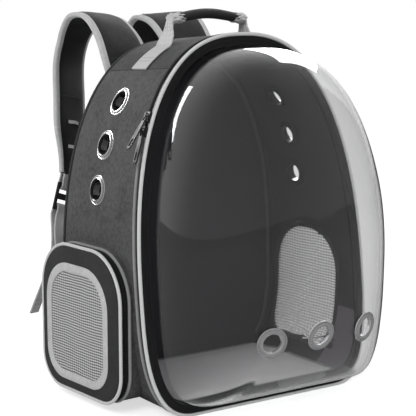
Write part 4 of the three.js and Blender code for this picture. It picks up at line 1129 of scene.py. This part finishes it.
def handle_gather(name, side, end):
    """Creased wrap round one end of the grip."""
    rings = []
    for step in range(9):
        share = step / 8
        centre = Vector((side * (GRIP_HALF + 0.0035 - 0.017 * share), HANDLE_Y, end + 0.0011 * share))
        plump = 1 + 0.10 * math.sin(math.pi * share)
        ring = []
        for corner in range(40):
            angle = 2 * math.pi * corner / 40
            fine = 0.0007 * math.sin(9 * angle + 2.2 * math.sin(5 * share))
            broad = 0.0004 * math.sin(5 * angle + 9 * share)
            crease = fine + broad
            wide = plump * (GRIP_WIDTH / 2 * 0.86) + crease
            tall = plump * (GRIP_THICKNESS / 2 * 0.92) + crease
            ring.append(centre + Vector((0, wide * math.cos(angle), tall * math.sin(angle))))
        rings.append(ring)
    swept(f"handle_gather_{name}", rings, PALE_BINDING, smooth=60)


def build_handle():
    top = back_point(90, HANDLE_FROM_BACK).z + HANDLE_RISE
    end = top - GRIP_SAG
    controls = [Vector((x, HANDLE_Y, z)) for x, z in ((-GRIP_HALF, end), (0, top), (GRIP_HALF, end))]
    line = stations(smooth_line(controls, 40), lambda share: Vector((0, 1, 0)))
    grip = band("grip", line, grip_section, CHARCOAL, ["handle_grip"], 60)
    for name, side in (("left", -1), ("right", 1)):
        line = handle_band(name, side, end)
        handle_gather(name, side, end)
        bm = bmesh.new()
        for row in (0.3, 0.42):
            station = line[int(row * 16)]
            face = station[3]
            stitches_across(bm, station, face if face.z > 0 else -face, 0.014, 0.0011, 8)
        mesh_piece(f"handle_stitches_{name}", bm, THREAD, turn_out=False)


# Shoulder straps: shares of the spacing, of the reach and of the back's height

STRAP_ROUTE = [
    (1.0, 0.0, 0.80), (1.0, 0.03, 0.86), (1.02, 0.14, 0.93), (1.04, 0.30, 1.01),
    (1.07, 0.52, 1.06), (1.12, 0.78, 1.062), (1.2, 0.96, 1.01), (1.32, 1.02, 0.93),
    (1.4, 0.98, 0.80), (1.52, 0.91, 0.68), (1.7, 0.85, 0.575),
]
ADJUSTER_PLACE = (1.88, 0.84, 0.503)
WEBBING_BOW = (2.5, 0.56, 0.36)
TAB_TIP = (2.9, 0.31, 0.21)
TAIL_BOW = (2.15, 0.83, 0.33)
TAIL_END = (2.68, 0.93, 0.135)

# Other measures of the straps, in metres, degrees and shares of the pad's length
TAIL_TURN = 35
ADJUSTER_HALF = 0.018
ADJUSTER_BAR = 0.005
ADJUSTER_THICKNESS = 0.004
TAB_ROOT_Z = 0.036
TAB_ROOT_HEIGHT = 0.046
LOOP_SHARES = (0.865, 0.93)
STITCH_SHARES = (0.22, 0.5, 0.79)


def strap_point(side, row):
    return Vector((side * STRAP_SPACING * row[0], BACK_Y + STRAP_THICKNESS / 2 + GAP + STRAP_REACH * row[1],
                   BACK_HEIGHT * row[2]))


def splayed(side, degrees, bank=0.0):
    return Vector((math.cos(math.radians(degrees)), -side * math.sin(math.radians(degrees)), side * bank))


def adjuster_frame(side):
    """Middle of the ladder lock and its directions: across, along and out of its face."""
    origin = strap_point(side, ADJUSTER_PLACE)
    along = (origin - strap_point(side, STRAP_ROUTE[-1])).normalized()
    wide = splayed(side, STRAP_SPLAY)
    across = (wide - along * wide.dot(along)).normalized()
    return origin, across, along, across.cross(along)


def in_frame(place, across, along, out):
    return place[0] + place[1] * across + place[2] * along + place[3] * out


def fold_round(place, end):
    """Half turn of webbing round the lock's bar at one end of it."""
    radius = ADJUSTER_THICKNESS / 2 + WEBBING_THICKNESS / 2 + GAP
    centre = end * (ADJUSTER_HALF - ADJUSTER_BAR)
    angles = [math.radians(mix(-90, 90, step / 10)) for step in range(11)]
    return [in_frame(place, 0, centre - end * radius * math.cos(angle), radius * math.sin(angle))
            for angle in angles]


def pad_line(side):
    def width_at(share):
        bank = STRAP_BANK * math.sin(math.pi * share)
        return splayed(side, STRAP_SPLAY * smoothstep(share, 0.1, 0.65), bank)
    return stations(smooth_line([strap_point(side, row) for row in STRAP_ROUTE], 90), width_at)


def pad_taper(share):
    return 1 - PAD_END_TAPER * smoothstep(share, 0.85, 1)


def pad_section(share):
    """Section of a shoulder pad: full in its middle and thin at its edges."""
    half, thick, edge = STRAP_WIDTH / 2, STRAP_THICKNESS / 2, 0.0022
    taper = pad_taper(share) * (1 - 0.1 * smoothstep(share, 0.985, 1))
    crown = 0.0004 * math.sin(share * 60)
    upper = [(half - 0.0045, edge), (half - 0.008, thick * 0.72), (half - 0.014, thick * 0.95)]
    upper += [(across, thick + crown) for across in (0.012, 0.004, -0.004, -0.012)]
    upper += [(-across, t) for across, t in reversed(upper[:3])]
    whole = upper + [(-across, -t) for across, t in upper]
    return [(across * taper, t) for across, t in whole]


def edge_section(share, sign):
    """Section of the binding along one edge of a shoulder pad."""
    at = sign * (STRAP_WIDTH / 2 - 0.0005) * pad_taper(share)
    width, t = 0.0078, 0.0031
    ring = [(at, 0.4 * t), (at - sign * 0.001, 0.85 * t), (at - sign * 0.0035, t),
            (at - sign * width, t + 0.0004), (at - sign * width, t - 0.0012)]
    return ring + [(across, -thick) for across, thick in reversed(ring)]


def strap_pad(side, name):
    """Shoulder pad with cloth outside and net inside, its two edge bindings and its rows of stitches."""
    line = pad_line(side)
    pad = band(f"strap_{name}", line, pad_section, [CHARCOAL, STRAP_NET],
               [f"strap_pad_{name}"], 60)
    for polygon, shown in zip(pad.data.polygons, shown_faces(pad, line)):
        polygon.material_index = 0 if shown else 1
    for edge_name, sign in (("inner", -side), ("outer", side)):
        band(f"strap_edge_{edge_name}_{name}", line, lambda share: edge_section(share, sign), PALE_BINDING,
             smooth=50)
    bm = bmesh.new()
    for share in STITCH_SHARES:
        station = line[int(share * 90)]
        for sign in (-1, 1):
            stitches_across(bm, station, station[3] * sign, 0.024, STRAP_THICKNESS / 2 + 0.0003, 12)
    mesh_piece(f"strap_stitches_{name}", bm, THREAD, turn_out=False)


def shown_faces(pad, line):
    """Whether each face looks away from the shoulder loop's middle."""
    centre = sum((station[0] for station in line), Vector()) / len(line)
    shown = []
    for polygon in pad.data.polygons:
        away = polygon.center - centre
        away.x = 0
        shown.append(polygon.normal.dot(away) > 0)
    return shown


def strap_loops(side, name):
    """Webbing loops sewn across the inner face of the pad."""
    line = pad_line(side)
    places = [(-0.011, 0), (-0.008, 0.0003), (-0.004, 0.0022), (0.0, 0.003), (0.004, 0.0022),
              (0.008, 0.0003), (0.011, 0)]
    for number, share in enumerate(LOOP_SHARES, 1):
        point, width, along, face = line[int(share * 90)]
        inward = face if face.y < 0 else -face
        base = point + inward * (STRAP_THICKNESS / 2 + 0.0009)
        points = smooth_line([base + width * across + inward * lift for across, lift in places], 24)
        band(f"strap_loop_{number}_{name}", stations(points, lambda share: along),
             lambda share: soft_section(0.0042, 0.0012, 4), WEBBING)


def strap_tongue(side, name):
    """Webbing from the pad's end round the upper bar of the ladder lock and back."""
    place = adjuster_frame(side)
    pad_end = (place[0] - strap_point(side, STRAP_ROUTE[-1])).length
    lift = STRAP_THICKNESS / 4
    behind = in_frame(place, 0, -pad_end + 4 * GAP, -lift)
    before = in_frame(place, 0, -pad_end + 4 * GAP, lift)
    band(f"tongue_{name}", stations([behind, *fold_round(place, -1), before], lambda share: place[1]),
         flat_webbing, WEBBING, [f"strap_tongue_{name}"])


def strap_webbing(side, name):
    """Webbing from the side tab round the lower bar of the ladder lock and down to its loose end."""
    place = adjuster_frame(side)
    rise = ADJUSTER_THICKNESS / 2 + WEBBING_THICKNESS + 2 * GAP
    leave = in_frame(place, 0, ADJUSTER_HALF + ADJUSTER_BAR, -rise)
    drop = in_frame(place, 0, ADJUSTER_HALF + ADJUSTER_BAR, rise)
    _, tip, _, along, inward = tab_place(side)
    start = tip + along * 2 * GAP
    main = smooth_line([start, strap_point(side, WEBBING_BOW), leave], 28)
    tail = smooth_line([drop, strap_point(side, TAIL_BOW), strap_point(side, TAIL_END)], 28)
    points = main + fold_round(place, 1) + tail
    tail_wide = splayed(side, TAIL_TURN)

    def width_at(share):
        index = share * (len(points) - 1)
        if index < len(main):
            return inward.lerp(place[1], smoothstep(0.35 * index / len(main), 0, 0.3))
        if index < len(points) - len(tail):
            return place[1]
        down = (index - len(points) + len(tail)) / (len(tail) - 1)
        return place[1].lerp(tail_wide, smoothstep(mix(0.65, 1, down), 0.65, 1))

    line = stations(points, width_at)
    band(f"webbing_{name}", line, flat_webbing, WEBBING, [f"strap_webbing_{name}"])
    bm = bmesh.new()
    for back in (3, 4):
        station = line[-back]
        for sign in (-1, 1):
            stitches_across(bm, station, station[3] * sign, 0.011, 0.0011, 8, 0.0022, 0.0032)
    mesh_piece(f"tail_stitches_{name}", bm, THREAD, turn_out=False)


def tab_place(side):
    """Root and tip of a side tab, its level way out, the webbing's way on from it, and its tip's width."""
    turn = solve(-90, 0, lambda degrees: back_point(degrees, 0).z, TAB_ROOT_Z)
    edge = back_point(turn, 0)
    root = Vector((side * (edge.x - 0.0024), BACK_Y + GAP, TAB_ROOT_Z))
    tip = strap_point(side, TAB_TIP)
    level = tip - root
    level.z = 0
    level.normalize()
    pull = strap_point(side, WEBBING_BOW) - tip
    along = level * pull.dot(level)
    along.z = pull.z
    along.normalize()
    inward = along.cross(level.cross(Vector((0, 0, 1)))).normalized()
    return root, tip, level, along, inward


def side_tab(side, name):
    """Flat cloth tab, sewn to the back edge and round the webbing's end."""
    root, tip, level, _, inward = tab_place(side)
    half = WEBBING_WIDTH / 2
    ends = [tip + inward * reach for reach in (-half, half)]
    near, far = sorted(ends, key=lambda spot: (spot - root).dot(level))
    corners = [root, far, near, root + Vector((0, 0, TAB_ROOT_HEIGHT))]
    rounding = 0.0011
    normal = level.cross(Vector((0, 0, 1)))
    middle = sum(corners, Vector()) / 4
    rings = []
    for thick, shrink in ((-rounding, 0.03), (-0.4 * rounding, 0.0), (0.4 * rounding, 0.0), (rounding, 0.03)):
        outline = []
        for corner, after in zip(corners, corners[1:] + corners[:1]):
            outline += [corner.lerp(after, step / 8) for step in range(8)]
        rings.append([spot.lerp(middle, shrink) + normal * thick for spot in outline])
    swept(f"side_tab_{name}", rings, CHARCOAL, [f"strap_tab_{name}"], smooth=50)


# Moulded parts: the frame's own shape with rounded edges

def rounded(node, width, body=BODY):
    bm = bmesh.new()
    bm.from_mesh(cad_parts[node].data)
    bmesh.ops.remove_doubles(bm, verts=bm.verts, dist=1e-5)
    bmesh.ops.dissolve_limit(bm, angle_limit=math.radians(2), verts=bm.verts, edges=bm.edges)
    sharp = [edge for edge in bm.edges if edge.is_manifold and edge.calc_face_angle(0) > math.radians(25)]
    bmesh.ops.bevel(bm, geom=sharp, offset=width, offset_type="OFFSET", segments=3, profile=0.5,
                    affect="EDGES", clamp_overlap=True, material=-1)
    mesh_piece(f"{node}_moulded", bm, BLACK_PLASTIC, [node], body, 30)


def build_moulded():
    small_edge, large_edge = 0.0004, 0.0008
    for name in ("upper", "lower", "pocket"):
        rounded(f"slider_{name}", small_edge)
        rounded(f"pull_{name}", small_edge, f"{name}_pull")
    for name in ("left", "right"):
        rounded(f"strap_adjuster_{name}", large_edge)


# Camera, light and floor

CAMERA_TARGET = Vector((0, 0, 0.210))
CAMERA_AWAY = Vector((-0.5654, -0.8103, 0.154))
CAMERA_DISTANCE = 1.5324
CAMERA_LENS = 110.83
CAMERA_SHIFT = (-0.0236, 0.0041)

# Strength of the white world on cloth, and in reflections, where it is a dark room in front and a
# pale one behind. The floor glows where it is seen directly.
WORLD_LIGHT = 0.42
DARK_ROOM = 0.06
PALE_ROOM = 0.85
FLOOR_GLOW = 0.64

# Softboxes for the cloth, with their places, sizes and powers
SOFTBOXES = (("key", (-2.2, -1.3, 2.1), 1.3, 34), ("fill", (1.2, -2.4, 0.9), 1.4, 8))

# Softboxes that show only as reflections: the soft strip on the left of the bubble and the patch on its
# top right. Each has a spot on the bubble, the way its reflection leaves, the way its length runs, its
# size and its power.
REFLECTED_DISTANCE = 1.6
REFLECTED = (
    ("left_strip", (-0.112, -0.080, 0.330), (-0.38, 0.80, 0.40), (0.38, 0.0, 0.35), (0.40, 0.80), 16.0),
    ("top_patch", (0.008, -0.110, 0.398), (0.64, 0.56, 0.42), (0.0, -0.8, 0.6), (0.55, 1.3), 34.0),
)


def seen_directly(tree):
    """1 where the camera sees the surface, straight or through the bubble."""
    path = tree.nodes.new("ShaderNodeLightPath")
    return maths(tree, "MAXIMUM", path.outputs["Is Camera Ray"], path.outputs["Is Transmission Ray"])


def build_camera():
    lens = bpy.data.cameras.new("camera")
    lens.sensor_width = 36
    lens.lens = CAMERA_LENS
    lens.shift_x, lens.shift_y = CAMERA_SHIFT
    camera = bpy.data.objects.new("camera", lens)
    away = CAMERA_AWAY.normalized()
    camera.location = CAMERA_TARGET + away * CAMERA_DISTANCE
    camera.rotation_euler = (-away).to_track_quat("-Z", "Y").to_euler()
    bpy.context.scene.collection.objects.link(camera)
    bpy.context.scene.camera = camera


def build_floor():
    """White floor. Seen directly it glows a little, and in reflections it is dark."""
    bm = bmesh.new()
    bmesh.ops.create_grid(bm, x_segments=1, y_segments=1, size=12)
    mesh = bpy.data.meshes.new("floor")
    bm.to_mesh(mesh)
    bm.free()
    floor = bpy.data.objects.new("floor", mesh)
    pale, tree, surface = shaded("pale_floor", 0.95)
    surface.inputs["Emission Color"].default_value = (1, 1, 1, 1)
    glow = maths(tree, "MULTIPLY", seen_directly(tree), FLOOR_GLOW)
    tree.links.new(glow, surface.inputs["Emission Strength"])
    path = tree.nodes.new("ShaderNodeLightPath")
    shade = blended(tree, path.outputs["Is Glossy Ray"], (0.9, 0.9, 0.9, 1), (0.1, 0.1, 0.1, 1))
    tree.links.new(shade, surface.inputs["Base Color"])
    mesh.materials.append(pale)
    bpy.context.scene.collection.objects.link(floor)


def build_world():
    world = bpy.data.worlds.new("studio")
    world.use_nodes = True
    tree = world.node_tree
    path = tree.nodes.new("ShaderNodeLightPath")
    place = tree.nodes.new("ShaderNodeTexCoord")
    part = tree.nodes.new("ShaderNodeSeparateXYZ")
    tree.links.new(place.outputs["Generated"], part.inputs[0])
    behind = eased(tree, part.outputs["Y"], 0.1, 0.85, DARK_ROOM, PALE_ROOM)
    lit = blended_value(tree, path.outputs["Is Glossy Ray"], WORLD_LIGHT, behind)
    strength = blended_value(tree, seen_directly(tree), lit, 1.0)
    tree.links.new(strength, tree.nodes["Background"].inputs["Strength"])
    tree.nodes["Background"].inputs["Color"].default_value = (1, 1, 1, 1)
    bpy.context.scene.world = world


def lamp(name, place, target, size, power):
    light = bpy.data.lights.new(name, "AREA")
    light.shape = "RECTANGLE"
    light.size, light.size_y = size
    light.energy = power
    fixture = bpy.data.objects.new(name, light)
    fixture.location = place
    fixture.rotation_euler = (Vector(target) - Vector(place)).to_track_quat("-Z", "Y").to_euler()
    bpy.context.scene.collection.objects.link(fixture)
    return fixture


def build_lamps():
    for name, place, size, power in SOFTBOXES:
        softbox = lamp(name, place, (0, 0, 0.2), (size, size), power)
        softbox.visible_glossy = False
        softbox.visible_transmission = False
    for name, spot, direction, lengthwise, size, power in REFLECTED:
        away = Vector(direction).normalized()
        softbox = lamp(name, Vector(spot) + away * REFLECTED_DISTANCE, spot, size, power)
        across = Vector(lengthwise).cross(away)
        turned_to = Matrix((across.normalized(), away.cross(across).normalized(), away)).transposed()
        softbox.rotation_euler = turned_to.to_euler()
        softbox.visible_diffuse = False
        softbox.visible_transmission = False


def build_studio():
    build_camera()
    build_floor()
    build_world()
    bpy.context.scene.view_settings.view_transform = "Standard"
    build_lamps()


build_studio()
build_walls()
build_window()
build_front_frame()
build_dome()
build_back()
build_mat()
build_pocket()
build_handle()
for strap_name, strap_side in (("left", -1), ("right", 1)):
    strap_pad(strap_side, strap_name)
    strap_loops(strap_side, strap_name)
    strap_tongue(strap_side, strap_name)
    strap_webbing(strap_side, strap_name)
    side_tab(strap_side, strap_name)
build_moulded()
